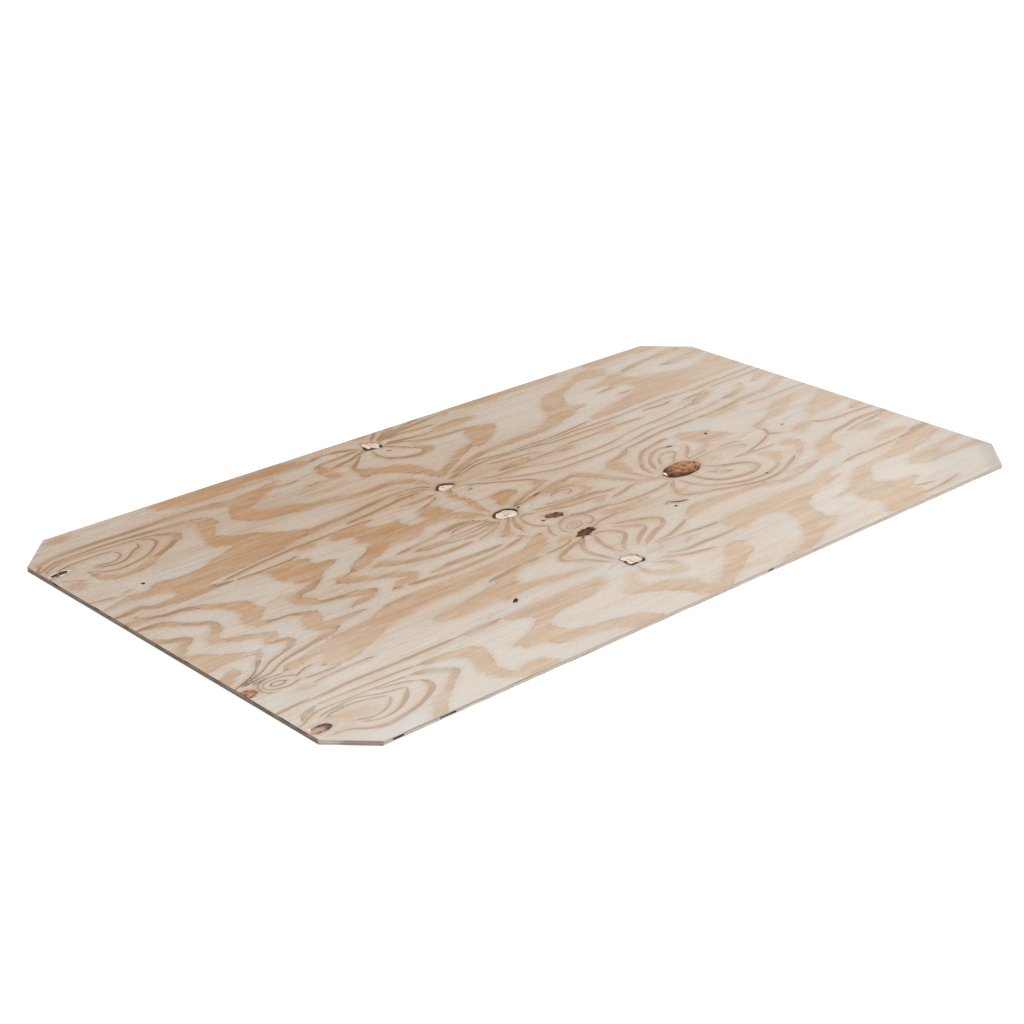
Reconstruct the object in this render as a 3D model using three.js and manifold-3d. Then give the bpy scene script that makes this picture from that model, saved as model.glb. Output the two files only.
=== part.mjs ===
// A sheet of thin softwood plywood with its four corners sawn off, lying on its back.
//
// Three veneers are glued into one piece: a face and a back with the grain along the
// sheet, and a core with the grain across it. The edges show the worn core between the
// two outer veneers, and the gaps where strips of core veneer don't meet. Where knots have
// dropped out of the face veneer, its open holes go down to the core.
//
// Millimetres, +Z up. The origin is at the middle of the underside, X along the sheet.

import * as THREE from 'three';
import { mergeVertices } from 'three/addons/utils/BufferGeometryUtils.js';
import Module from 'manifold-3d';

const { degToRad } = THREE.MathUtils;

// ---------------------------------------------------------------- driving dimensions

const LENGTH = 1200;
const WIDTH = 680;
const BACK_PLY = 1.8;
const CORE_PLY = 2.4;
const FACE_PLY = 1.8;

// Legs of the corner cuts, which were sawn by hand and differ a little.
const CORNER_CUTS = { nearLeft: 48, nearRight: 54, farRight: 58, farLeft: 57 };

const ARRIS = 0.25; // worn edge of each veneer, which leaves a fine groove at the glue lines
const CORE_WEAR = 0.4; // how far the core lies behind the outer veneers at the edges
const GLUE_LINE = 0.05; // how far neighbouring veneers are pressed into each other

// Open holes in the face veneer. length runs along the grain, width across it and turn is
// in degrees. Each ripple is a number of waves round the rim, their height as a share of
// the radius and the angle in degrees of the first crest.
const KNOT_HOLES = [
  { x: -41, y: 302, length: 31, width: 28, turn: -8, ripples: [[3, 0.09, 100], [4, 0.1, 35], [7, 0.04, 10]] },
  { x: -62, y: 123, length: 33, width: 19, turn: 4, ripples: [[2, 0.05, 60], [3, 0.1, 90], [8, 0.04, 0]] },
  { x: -63, y: 2, length: 40, width: 27, turn: 3, ripples: [[3, 0.03, 170], [6, 0.015, 0]] },
  { x: -44, y: -207, length: 31, width: 27, turn: 0, ripples: [[4, 0.12, 40], [3, 0.05, 220], [9, 0.03, 20]] },
  { x: -582, y: 239, length: 23, width: 8, turn: 6, ripples: [[2, 0.08, 0]] },
];
const RIM_STEPS = 40; // points round the rim of a knot hole
const HOLE_TAPER = 0.94; // a hole's size at the core, as a share of its size at the face

// A drying split beside a sound knot: a crescent whose tips lie on a straight chord.
const SPLIT = { x: 131, y: -121, length: 32, sag: 5, width: 2.2, turn: -25 };
const SPLIT_STEPS = 12; // points along each side of the crescent

// Gaps between strips of core veneer, open at one long edge. x is the middle of a gap.
const CORE_GAPS = {
  near: [
    { x: -532, width: 15, depth: 16 },
    { x: -463, width: 22, depth: 12 },
    { x: 63, width: 9, depth: 14 },
  ],
  far: [
    { x: 248, width: 17, depth: 11 },
    { x: -372, width: 12, depth: 18 },
  ],
};
const GAP_STEPS = 8; // steps round the blind end of a gap

// Splinters torn off the face veneer where the saw crossed its grain, at both short edges.
const SPLINTERS = {
  left: [
    { y: 218, width: 34, depth: 1.6 },
    { y: 128, width: 12, depth: 2.4 },
    { y: -58, width: 20, depth: 1.2 },
    { y: -236, width: 26, depth: 1.8 },
  ],
  right: [
    { y: -92, width: 16, depth: 2 },
    { y: 174, width: 22, depth: 1.5 },
  ],
};
const SPLINTER_STEPS = 8; // steps along the torn line

// ---------------------------------------------------------------- derived sizes

const THICKNESS = BACK_PLY + CORE_PLY + FACE_PLY;
const CORE_TOP = BACK_PLY + CORE_PLY;
const CLEARANCE = 2; // how far a cutter stands out of the solid that it cuts

// ---------------------------------------------------------------- solids

const wasm = await Module();
wasm.setup();

// Turns a closed geometry into a solid that can be joined and cut.
function toSolid(geometry) {
  const bare = geometry.clone();
  bare.deleteAttribute('normal');
  bare.deleteAttribute('uv');
  const welded = mergeVertices(bare, 1e-4);
  const mesh = new wasm.Mesh({
    numProp: 3,
    vertProperties: new Float32Array(welded.attributes.position.array),
    triVerts: new Uint32Array(welded.index.array),
  });
  return new wasm.Manifold(mesh);
}

// Turns a finished solid back into a geometry.
function toGeometry(solid) {
  const mesh = solid.getMesh();
  const geometry = new THREE.BufferGeometry();
  geometry.setAttribute('position', new THREE.BufferAttribute(mesh.vertProperties, 3));
  geometry.setIndex(new THREE.BufferAttribute(mesh.triVerts, 1));
  geometry.computeVertexNormals();
  return geometry;
}

// ---------------------------------------------------------------- veneers

// Ends of the sheet's four long and short edges, anticlockwise. A positive inset moves
// every edge inwards by the same distance, the corner cuts included.
function sheetEdges(inset) {
  const x = LENGTH / 2 - inset;
  const y = WIDTH / 2 - inset;
  const leg = (cut) => cut - inset * (2 - Math.SQRT2);
  const nearLeft = leg(CORNER_CUTS.nearLeft);
  const nearRight = leg(CORNER_CUTS.nearRight);
  const farRight = leg(CORNER_CUTS.farRight);
  const farLeft = leg(CORNER_CUTS.farLeft);
  const point = (px, py) => new THREE.Vector2(px, py);
  return {
    near: [point(-x + nearLeft, -y), point(x - nearRight, -y)],
    right: [point(x, -y + nearRight), point(x, y - farRight)],
    far: [point(x - farRight, y), point(-x + farLeft, y)],
    left: [point(-x, y - farLeft), point(-x, -y + nearLeft)],
  };
}

// The outline of one veneer. Each notch is a list of points in table coordinates, and the
// notches of an edge are given in the order in which the outline passes them.
function veneerOutline(inset, notches) {
  const points = [];
  for (const [edge, [start, end]] of Object.entries(sheetEdges(inset))) {
    points.push(start, ...(notches[edge] ?? []).flat(), end);
  }
  return new THREE.Shape(points);
}

// One veneer between two heights, with its edges worn.
function veneer(outline, bottom, top) {
  const geometry = new THREE.ExtrudeGeometry(outline, {
    depth: top - bottom - 2 * ARRIS,
    bevelThickness: ARRIS,
    bevelSize: ARRIS,
    bevelOffset: -ARRIS,
    bevelSegments: 2,
  });
  return toSolid(geometry.translate(0, 0, bottom + ARRIS));
}

// A gap in the core: a slot with a round blind end, which runs in from one long edge.
function coreGap(gap, side) {
  const radius = gap.width / 2;
  const edge = side * (WIDTH / 2 - CORE_WEAR);
  const points = [new THREE.Vector2(gap.x + side * radius, edge)];
  for (let step = 0; step <= GAP_STEPS; step += 1) {
    const angle = (step / GAP_STEPS) * Math.PI;
    const inward = gap.depth - radius + radius * Math.sin(angle);
    points.push(new THREE.Vector2(gap.x + side * radius * Math.cos(angle), edge - side * inward));
  }
  points.push(new THREE.Vector2(gap.x - side * radius, edge));
  return points;
}

// A splinter's bite out of the face: the torn line rises fast and runs out slowly.
function splinterBite(splinter, side) {
  const points = [];
  for (let step = 0; step <= SPLINTER_STEPS; step += 1) {
    const share = step / SPLINTER_STEPS;
    const inward = splinter.depth * Math.sin(Math.PI * Math.sqrt(share));
    const along = splinter.y + side * (share - 0.5) * splinter.width;
    points.push(new THREE.Vector2(side * (LENGTH / 2 - inward), along));
  }
  return points;
}

function backVeneer() {
  return veneer(veneerOutline(0, {}), 0, BACK_PLY + GLUE_LINE);
}

function coreVeneer() {
  const gaps = {
    near: CORE_GAPS.near.map((gap) => coreGap(gap, -1)),
    far: CORE_GAPS.far.map((gap) => coreGap(gap, 1)),
  };
  return veneer(veneerOutline(CORE_WEAR, gaps), BACK_PLY - GLUE_LINE, CORE_TOP + GLUE_LINE);
}

function faceVeneer() {
  const bites = {
    left: SPLINTERS.left.map((splinter) => splinterBite(splinter, -1)),
    right: SPLINTERS.right.map((splinter) => splinterBite(splinter, 1)),
  };
  return veneer(veneerOutline(0, bites), CORE_TOP - GLUE_LINE, THICKNESS);
}

// ---------------------------------------------------------------- holes in the face

// Radius of a ripple-edged ellipse in one direction.
function rimRadius(hole, angle) {
  const along = hole.length / 2;
  const across = hole.width / 2;
  const ellipse = (along * across) / Math.hypot(across * Math.cos(angle), along * Math.sin(angle));
  const ripple = (sum, [waves, height, crest]) => sum + height * Math.cos(waves * (angle - degToRad(crest)));
  return ellipse * hole.ripples.reduce(ripple, 1);
}

// The cutter of one open knot hole: its walls lean in towards the core.
function knotHoleCutter(hole) {
  const rim = [];
  for (let step = 0; step < RIM_STEPS; step += 1) {
    const angle = (step / RIM_STEPS) * 2 * Math.PI;
    const radius = rimRadius(hole, angle);
    rim.push(new THREE.Vector2(radius * Math.cos(angle), radius * Math.sin(angle)));
  }
  const depth = FACE_PLY + CLEARANCE;
  const geometry = new THREE.ExtrudeGeometry(new THREE.Shape(rim), { depth, bevelEnabled: false });
  const lean = (1 - HOLE_TAPER) / FACE_PLY;
  const position = geometry.attributes.position;
  for (let i = 0; i < position.count; i += 1) {
    const scale = HOLE_TAPER + lean * position.getZ(i);
    position.setXY(i, position.getX(i) * scale, position.getY(i) * scale);
  }
  geometry.rotateZ(degToRad(hole.turn));
  return toSolid(geometry.translate(hole.x, hole.y, CORE_TOP));
}

// The cutter of the split: a crescent between two parabolas that share their tips.
function splitCutter() {
  const point = (share, sag) => {
    const across = sag * (1 - (2 * share - 1) ** 2);
    return new THREE.Vector2((share - 0.5) * SPLIT.length, -across);
  };
  const outline = [];
  for (let step = 0; step < SPLIT_STEPS; step += 1) {
    outline.push(point(step / SPLIT_STEPS, SPLIT.sag));
  }
  for (let step = SPLIT_STEPS; step > 0; step -= 1) {
    outline.push(point(step / SPLIT_STEPS, SPLIT.sag - SPLIT.width));
  }
  const depth = FACE_PLY + CLEARANCE;
  const geometry = new THREE.ExtrudeGeometry(new THREE.Shape(outline), { depth, bevelEnabled: false });
  geometry.rotateZ(degToRad(SPLIT.turn));
  return toSolid(geometry.translate(SPLIT.x, SPLIT.y, CORE_TOP));
}

// ---------------------------------------------------------------- object

function plywoodSheet() {
  const pressed = backVeneer().add(coreVeneer()).add(faceVeneer());
  const cutters = [...KNOT_HOLES.map(knotHoleCutter), splitCutter()];
  const solid = cutters.reduce((sheet, cutter) => sheet.subtract(cutter), pressed);
  const pine = new THREE.MeshStandardMaterial({ color: 0xd2bfa9, roughness: 0.72, metalness: 0 });
  const mesh = new THREE.Mesh(toGeometry(solid), pine);
  mesh.name = 'plywood_sheet';
  return mesh;
}

const sheet = new THREE.Group();
sheet.add(plywoodSheet());

export default sheet;
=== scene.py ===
import math

import bmesh
import bpy
import numpy as np
from mathutils import Matrix, Vector
from mathutils.geometry import delaunay_2d_cdt


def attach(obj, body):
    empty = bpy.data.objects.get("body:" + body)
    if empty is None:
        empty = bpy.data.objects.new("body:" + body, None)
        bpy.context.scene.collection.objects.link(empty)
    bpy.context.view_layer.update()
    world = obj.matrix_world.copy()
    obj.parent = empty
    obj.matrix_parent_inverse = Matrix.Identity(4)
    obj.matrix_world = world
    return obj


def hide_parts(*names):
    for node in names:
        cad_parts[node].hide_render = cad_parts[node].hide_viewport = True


MM = 0.001  # one millimetre in metres


# ---------------------------------------------------------------- sizes of the CAD part, in mm

HALF_LENGTH = 600.0
HALF_WIDTH = 340.0
THICKNESS = 6.0
CORE_TOP = 4.2
CORNER_CUTS = {"near_left": 48, "near_right": 54, "far_right": 58, "far_left": 57}

# Open holes in the face veneer: x, y, length, width, turn, ripples of the rim as (waves,
# height, crest), and what is left of the knot's bark as (middle, spread, width), where the
# middle and the spread are angles round the rim.
KNOT_HOLES = (
    (-41, 302, 31, 28, -8, ((3, 0.09, 100), (4, 0.1, 35), (7, 0.04, 10)),
     ((232, 48, 9.0), (185, 30, 4.0), (325, 24, 3.0))),
    (-62, 123, 33, 19, 4, ((2, 0.05, 60), (3, 0.1, 90), (8, 0.04, 0)),
     ((180, 30, 4.2), (120, 30, 2.2), (55, 22, 2.0), (10, 16, 1.4))),
    (-63, 2, 40, 27, 3, ((3, 0.03, 170), (6, 0.015, 0)),
     ((165, 40, 3.4), (95, 34, 1.2), (20, 30, 1.2), (235, 40, 1.4))),
    (-44, -207, 31, 27, 0, ((4, 0.12, 40), (3, 0.05, 220), (9, 0.03, 20)),
     ((172, 34, 4.2), (232, 50, 5.0), (305, 30, 3.2))),
    (-582, 239, 23, 8, 6, ((2, 0.08, 0),),
     ((180, 70, 2.6), (0, 60, 2.2))),
)
HOLE_TAPER = 0.94  # size of a hole at its floor, beside 1 at its rim

# The crescent split beside the sound knot.
SPLIT_X, SPLIT_Y = 131, -121
SPLIT_LENGTH, SPLIT_SAG, SPLIT_WIDTH = 32, 5, 2.2
SPLIT_TURN = -25

# Gaps between strips of core veneer: x, width, depth.
CORE_GAPS = {
    "near": ((-532, 15, 16), (-463, 22, 12), (63, 9, 14)),
    "far": ((248, 17, 11), (-372, 12, 18)),
}
# Splinters torn off the face veneer at the short edges: y, width, depth.
SPLINTERS = {
    "left": ((218, 34, 1.6), (128, 12, 2.4), (-58, 20, 1.2), (-236, 26, 1.8)),
    "right": ((-92, 16, 2), (174, 22, 1.5)),
}


# ---------------------------------------------------------------- colours

# Colours as they look in plain light, from 0 to 255.
PALE = (205, 189, 173)
PALE_COOL = (200, 189, 178)
PALE_PINK = (207, 184, 167)
PALE_DEEP = (189, 161, 132)
PALE_RING = (188, 150, 110)
BAND = (195, 155, 116)
BAND_DEEP = (176, 136, 96)
BAND_RED = (186, 140, 103)
LINE = (158, 123, 90)
THIN_LINE = (112, 82, 58)
EDGE_LINE = (150, 116, 84)
BARK = (62, 36, 23)
BARK_BROWN = (98, 72, 54)
CORE_WOOD = (247, 238, 229)
CORE_SHADE = (196, 172, 152)
KNOT_COLOURS = {
    "sound": (188, 134, 94),
    "red": (122, 72, 56),
    "red_pale": (200, 148, 122),
    "bark": (84, 60, 42),
    "brown": (136, 92, 60),
    "mauve": (200, 174, 158),
    "grey": (158, 142, 124),
    "white": (250, 236, 222),
}
# Painted sheen: a pale reflection added to the wood and to its bands.
SHEEN = (89, 106, 114)
SHEEN_BAND = (95, 110, 113)


def linear(colour):
    """Linear colour with alpha from one given from 0 to 255."""
    parts = [c / 255 for c in colour]
    return (*[p / 12.92 if p <= 0.04045 else ((p + 0.055) / 1.055) ** 2.4 for p in parts], 1.0)


# ---------------------------------------------------------------- figure of the face veneer
#
# The veneer is peeled from a log, so each annual ring shows as a band that wanders along
# the sheet and flows round the knots. The bands are drawn in millimetres from the middle of
# the sheet.

# Narrow bands: half width, then x, y of each point.
LINES = (
    # more lines beside the holes and knots in the middle
    (1.4, -30, -14, -5, -20, 20, -23, 50, -25, 85, -27),
    (1.4, -26, -22, -8, -27, 10, -33, 30, -37, 48, -38),
    (1.5, -37, -88, -33, -80, -23, -76, -13, -76, -10, -82, -15, -89, -27, -93, -35, -92),
    (1.4, -12, -104, 10, -98, 40, -95, 70, -98),
    (1.6, -600, -92, -575, -88, -548, -88, -530, -92),
    (1.4, -582, -152, -575, -148, -558, -147, -545, -149, -536, -148),
    (1.4, -568, -180, -577, -176, -581, -169, -580, -161, -576, -154, -568, -150, -560, -149),
    # whorl at the upper left and the rings round it
    (1.7, -596, 250, -570, 263, -540, 266, -500, 264, -470, 262, -445, 260, -422, 252),
    (1.2, -600, 231, -584, 243, -568, 250, -548, 253, -520, 254, -495, 252),
    (1.9, -553, 220, -542, 212, -532, 205, -520, 202, -501, 204, -486, 208, -470, 214, -459, 222,
     -447, 232, -441, 241, -445, 251, -456, 257),
    (2.0, -541, 227, -528, 220, -515, 217, -501, 219, -490, 226, -478, 235, -466, 241, -463, 251),
    (1.5, -538, 231, -520, 225, -507, 227, -497, 235, -495, 242, -501, 251),
    (1.6, -593, 218, -580, 211, -568, 202),
    # long lines below the great band
    (2.0, -446, 88, -424, 92, -407, 95, -389, 98, -360, 101, -342, 103, -292, 105.5, -234, 107,
     -200, 106),
    (1.8, -511, 84, -478, 86, -458, 87),
    (2.0, -436, 79, -401, 78, -374, 79, -351, 80, -340, 84),
    (2.4, -235, 117, -215, 120, -192, 122, -169, 125, -152, 128, -135, 131, -119, 132, -100, 131),
    (2.0, -146, 84, -129, 88, -110, 96, -92, 104),
    (1.8, -601, 145, -585, 142, -566, 137),
    (1.2, -557, 141, -541, 143),
    # small nest at the left, and the long lines of the lower left
    (1.3, -566, -164, -562, -160, -555, -159, -549, -162, -545, -165, -550, -168, -558, -169,
     -564, -167, -566, -164),
    (1.4, -526, -164, -534, -160, -543, -156, -553, -154, -563, -154, -571, -157, -575, -163,
     -573, -169, -567, -173, -558, -176, -548, -177, -538, -174, -528, -172),
    (1.4, -534, -166, -524, -161, -512, -156, -498, -155),
    (2.0, -528, -175, -501, -177, -482, -177),
    (1.8, -530, -190, -517, -188, -500, -187, -480, -186, -460, -186, -438, -187),
    (2.3, -601, -218, -566, -216, -540, -218, -501, -215, -439, -216, -401, -216, -340, -216),
    (1.8, -556, -231, -530, -231, -500, -232, -470, -233, -441, -234, -420, -236),
    (1.5, -598, -257, -590, -254, -580, -249, -567, -244, -550, -242, -527, -243, -500, -244,
     -467, -246, -440, -248),
    (1.5, -572, -255, -558, -251, -542, -249, -525, -248, -513, -249, -505, -252, -493, -257,
     -480, -262, -467, -264, -458, -267),
    (1.5, -567, -260, -553, -256, -537, -254, -523, -255, -510, -258, -500, -262, -492, -265,
     -485, -269),
    (1.6, -493, -245, -480, -250, -462, -254, -450, -258, -440, -263),
    # top, left of the first knot hole
    (2.5, -246, 287, -230, 290, -215, 289),
    (1.8, -196, 251, -186, 248, -171, 251),
    (2.4, -152, 289, -138, 296, -119, 298, -100, 299, -80, 301, -60, 303),
    (1.8, -235, 277, -215, 274, -190, 274),
    (2.6, -110, 320, -90, 318, -75, 312, -62, 307),
    (2.5, -110, 277, -90, 284, -70, 292, -58, 296),
    (2.2, -110, 150, -95, 147, -85, 143, -76, 133),
    (1.6, -130, 141, -110, 140, -95, 137, -80, 129),
    # fan right of the first knot hole
    (2.2, -30, 318, -15, 330, -5, 339, 3, 346),
    (2.4, -24, 313, -5, 318, 10, 322, 30, 328, 50, 333, 75, 340, 90, 346),
    (2.4, -22, 308, 10, 316, 30, 321, 60, 325, 85, 328, 110, 331, 150, 338),
    (2.0, -12, 309, 20, 311, 50, 308, 80, 306),
    (2.5, -18, 297, -6, 296, 8, 292, 25, 288, 40, 286, 60, 286),
    (2.5, -26, 291, -12, 293, 0, 288, 10, 281, 22, 274, 40, 268, 60, 265, 80, 264, 100, 262,
     118, 260),
    (2.3, -29, 289, -18, 280, -10, 270, -2, 259),
    # between the first and the second knot hole
    (1.3, -42, 139, -22, 145, -9, 149, 9, 155, 24, 159, 36, 162, 60, 157, 87, 154, 122, 155,
     155, 154, 200, 157, 230, 160, 250, 163),
    (1.2, -40, 137, -22, 140, -6, 143, 13, 149, 31, 152, 46, 153, 78, 149, 108, 147, 133, 144,
     150, 140, 180, 138, 210, 138, 240, 136, 272, 137),
    (1.7, 100, 149, 130, 148, 150, 148, 170, 148, 210, 150, 250, 148, 290, 148, 330, 150, 395, 152,
     430, 150, 460, 148, 500, 152, 530, 153, 560, 155, 601, 157),
    (1.3, 33, 143, 51, 138, 77, 134, 99, 131, 118, 125),
    (2.2, 335, 138, 350, 138, 362, 137, 380, 136, 397, 140),
    (1.8, 480, 138, 510, 140, 540, 139, 570, 140, 601, 142),
    (2.0, 410, 129, 430, 130, 445, 132, 460, 133, 476, 135),
    (1.3, 27, 114, 51, 111, 80, 111, 107, 113, 131, 113, 142, 111),
    (1.7, 150, 120, 180, 121, 210, 121, 240, 122, 275, 123, 316, 120),
    # right of the second and the third knot hole
    (1.3, -40, 111, -26, 103, -16, 96, -3, 89, 15, 78, 35, 66, 48, 53, 55, 45),
    (1.6, 4, 96, 28, 86, 52, 77, 74, 70, 95, 64, 115, 63, 150, 63, 180, 63, 200, 64, 220, 66,
     240, 69, 260, 73, 280, 77, 300, 79, 330, 80, 360, 81, 400, 84, 425, 86, 446, 92),
    (1.6, -8, 111, 11, 104, 35, 103, 59, 102, 83, 92, 100, 85, 115, 83, 130, 81, 180, 80, 200, 81,
     220, 84, 240, 88, 260, 92, 280, 95, 300, 97, 330, 98, 350, 100, 370, 103, 400, 107),
    (2.2, 46, 45, 30, 38, 20, 33, 5, 30, -10, 24, -25, 18, -40, 12),
    (1.6, 20, 15, 40, 15, 57, 14, 66, 9, 70, 3),
    (1.5, 18, 2, 28, 8, 44, 8, 55, 4, 52, -3, 38, -6),
    (1.7, -6, -12, 10, -15, 30, -17, 50, -18, 66, -18),
    (2.4, -14, -18, 5, -22, 20, -26, 40, -28, 60, -29, 80, -33, 102, -36),
    (2.2, -18, -24, 0, -30, 15, -35, 40, -38, 60, -40, 76, -45),
    (2.4, -4, -57, 15, -65, 30, -66, 50, -68, 65, -74, 90, -76, 120, -77, 150, -74, 172, -68),
    (2.2, 75, -55, 100, -50, 120, -45, 133, -43),
    # left of the third knot hole
    (2.3, -248, 2, -225, 5, -200, 8, -177, 11, -158, 17, -138, 20, -123, 19, -104, 14),
    (2.2, -142, -34, -129, -31, -110, -25, -94, -17, -84, -9),
    (2.0, -158, -20, -138, -21, -119, -19, -100, -13, -88, -7),
    (2.0, -181, -6, -158, -10, -142, -12, -108, -8, -90, -4),
    (1.5, -158, 11, -138, 15, -119, 13, -98, 9),
    (1.6, -158, 2, -142, 8, -119, 8, -90, 4),
    (1.5, -165, -3, -140, -4, -115, -2, -92, 0),
    # round the two dead knots
    (1.9, -34, -24, -41, -19, -50, -18, -58, -22, -62, -31, -63, -42, -60, -52, -52, -60, -46, -66),
    (1.9, -50, -64, -56, -73, -61, -81, -63, -88, -61, -94),
    (1.7, -44, -97, -46, -86, -40, -74, -30, -65, -15, -60, 0, -62, 10, -70, 12, -82, 4, -92,
     -9, -96),
    (1.9, -110, -122, -90, -122, -70, -119, -56, -113),
    (1.6, -104, -56, -96, -62, -90, -67),
    # petals between the dead knot and the fourth knot hole
    (2.8, -40, -118, -48, -126, -57, -134, -64, -145, -67, -155, -66, -165, -62, -178, -59, -194),
    (2.7, -48, -121, -60, -126, -75, -131, -90, -136, -102, -143, -108, -150, -101, -157, -91, -163,
     -83, -171, -77, -181, -66, -195),
    (2.7, -27, -124, -32, -135, -37, -148, -39, -160, -38, -172, -37, -184),
    (2.6, -27, -124, -18, -121, -8, -123, 0, -129, 6, -138, 6, -148, -2, -156, -12, -163, -22, -172,
     -32, -185),
    (2.8, 10, -122, 22, -130, 32, -136, 40, -144, 38, -152, 28, -159, 15, -166, 2, -175, -7, -182),
    (3.0, 15, -116, 35, -122, 50, -127, 62, -132, 71, -139, 73, -148, 67, -157, 55, -164, 40, -169,
     25, -176, 9, -184, 0, -189),
    (2.4, 14, -191, 40, -188, 55, -184, 75, -177, 95, -169),
    (2.2, 14, -196, 50, -197, 80, -200, 100, -202, 124, -203),
    (1.8, 42, -217, 55, -212, 66, -206),
    (2.4, 4, -222, 20, -230, 40, -232, 60, -231, 90, -233, 124, -232),
    (2.4, -14, -226, 5, -236, 20, -243, 40, -248, 60, -253),
    # rings round the sound knot
    (2.6, 173, -34, 175, -22, 178, -12, 185, -3, 195, 8, 205, 18, 215, 25, 228, 31, 245, 35,
     265, 39, 285, 41),
    (2.6, 188, -30, 192, -18, 198, -8, 205, 0, 218, 10, 230, 17, 245, 21, 258, 18, 275, 14),
    (2.2, 204, -22, 215, -8, 225, 0, 238, 5, 250, 3, 254, -3, 247, -10, 235, -18, 226, -27),
    (2.2, 284, 5, 275, -8, 262, -18, 249, -29),
    (2.2, 148, 2, 155, -15, 159, -30, 163, -46),
    (2.2, 210, 52, 230, 54, 250, 57, 270, 60, 290, 63, 310, 64, 340, 64, 370, 65),
    (2.0, 246, -33, 262, -30, 285, -27, 297, -23),
    (1.8, 310, -32, 330, -33, 345, -34, 350, -39),
    (1.6, 250, -42, 280, -37, 300, -38, 325, -42, 345, -48, 340, -55),
    (1.9, 300, -74, 320, -73, 345, -67, 360, -63, 375, -58, 397, -48),
    (1.9, 300, -71, 340, -76, 376, -78),
    (2.8, 246, -66, 258, -76, 268, -81, 280, -86, 295, -93, 304, -102, 305, -111, 298, -118,
     285, -123, 275, -125, 260, -124, 240, -120, 225, -113, 215, -102, 210, -90, 207, -74),
    (2.5, 184, -76, 187, -92, 194, -107, 205, -118, 228, -131, 245, -137, 265, -140, 290, -140,
     305, -136, 320, -130, 335, -121),
    (2.5, 146, -104, 155, -116, 175, -125, 195, -130, 210, -137, 225, -142, 245, -148, 265, -152,
     290, -152, 310, -148, 330, -140, 350, -132, 366, -124),
    (2.6, 178, -70, 165, -82, 155, -95, 149, -108),
    # right side
    (2.0, 500, 257, 515, 256),
    (1.7, 470, 52, 480, 54, 505, 52, 530, 52, 560, 53, 601, 52),
    (2.4, 418, -56, 400, -47, 408, -34, 404, -22),
    (2.3, 480, -52, 496, -66, 518, -71, 541, -72, 567, -73, 601, -77),
    (2.8, 420, -118, 447, -111, 470, -104, 505, -100, 530, -95, 560, -94, 601, -97),
    (2.5, 490, -116, 510, -112, 540, -109, 564, -107, 601, -101),
    (2.1, 560, -173, 580, -172, 601, -174),
    (2.2, 395, -186, 427, -182, 458, -183, 492, -183, 519, -182),
    (2.0, 400, -301, 410, -307, 432, -311),
    (2.1, 378, -326, 400, -326, 430, -325, 450, -322, 476, -318),
    (1.6, 360, 212, 372, 210, 388, 212),
    (2.4, 340, 234, 355, 236, 370, 238, 392, 241),
)

LEFT, RIGHT, BOTH = 1, -1, 0
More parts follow.
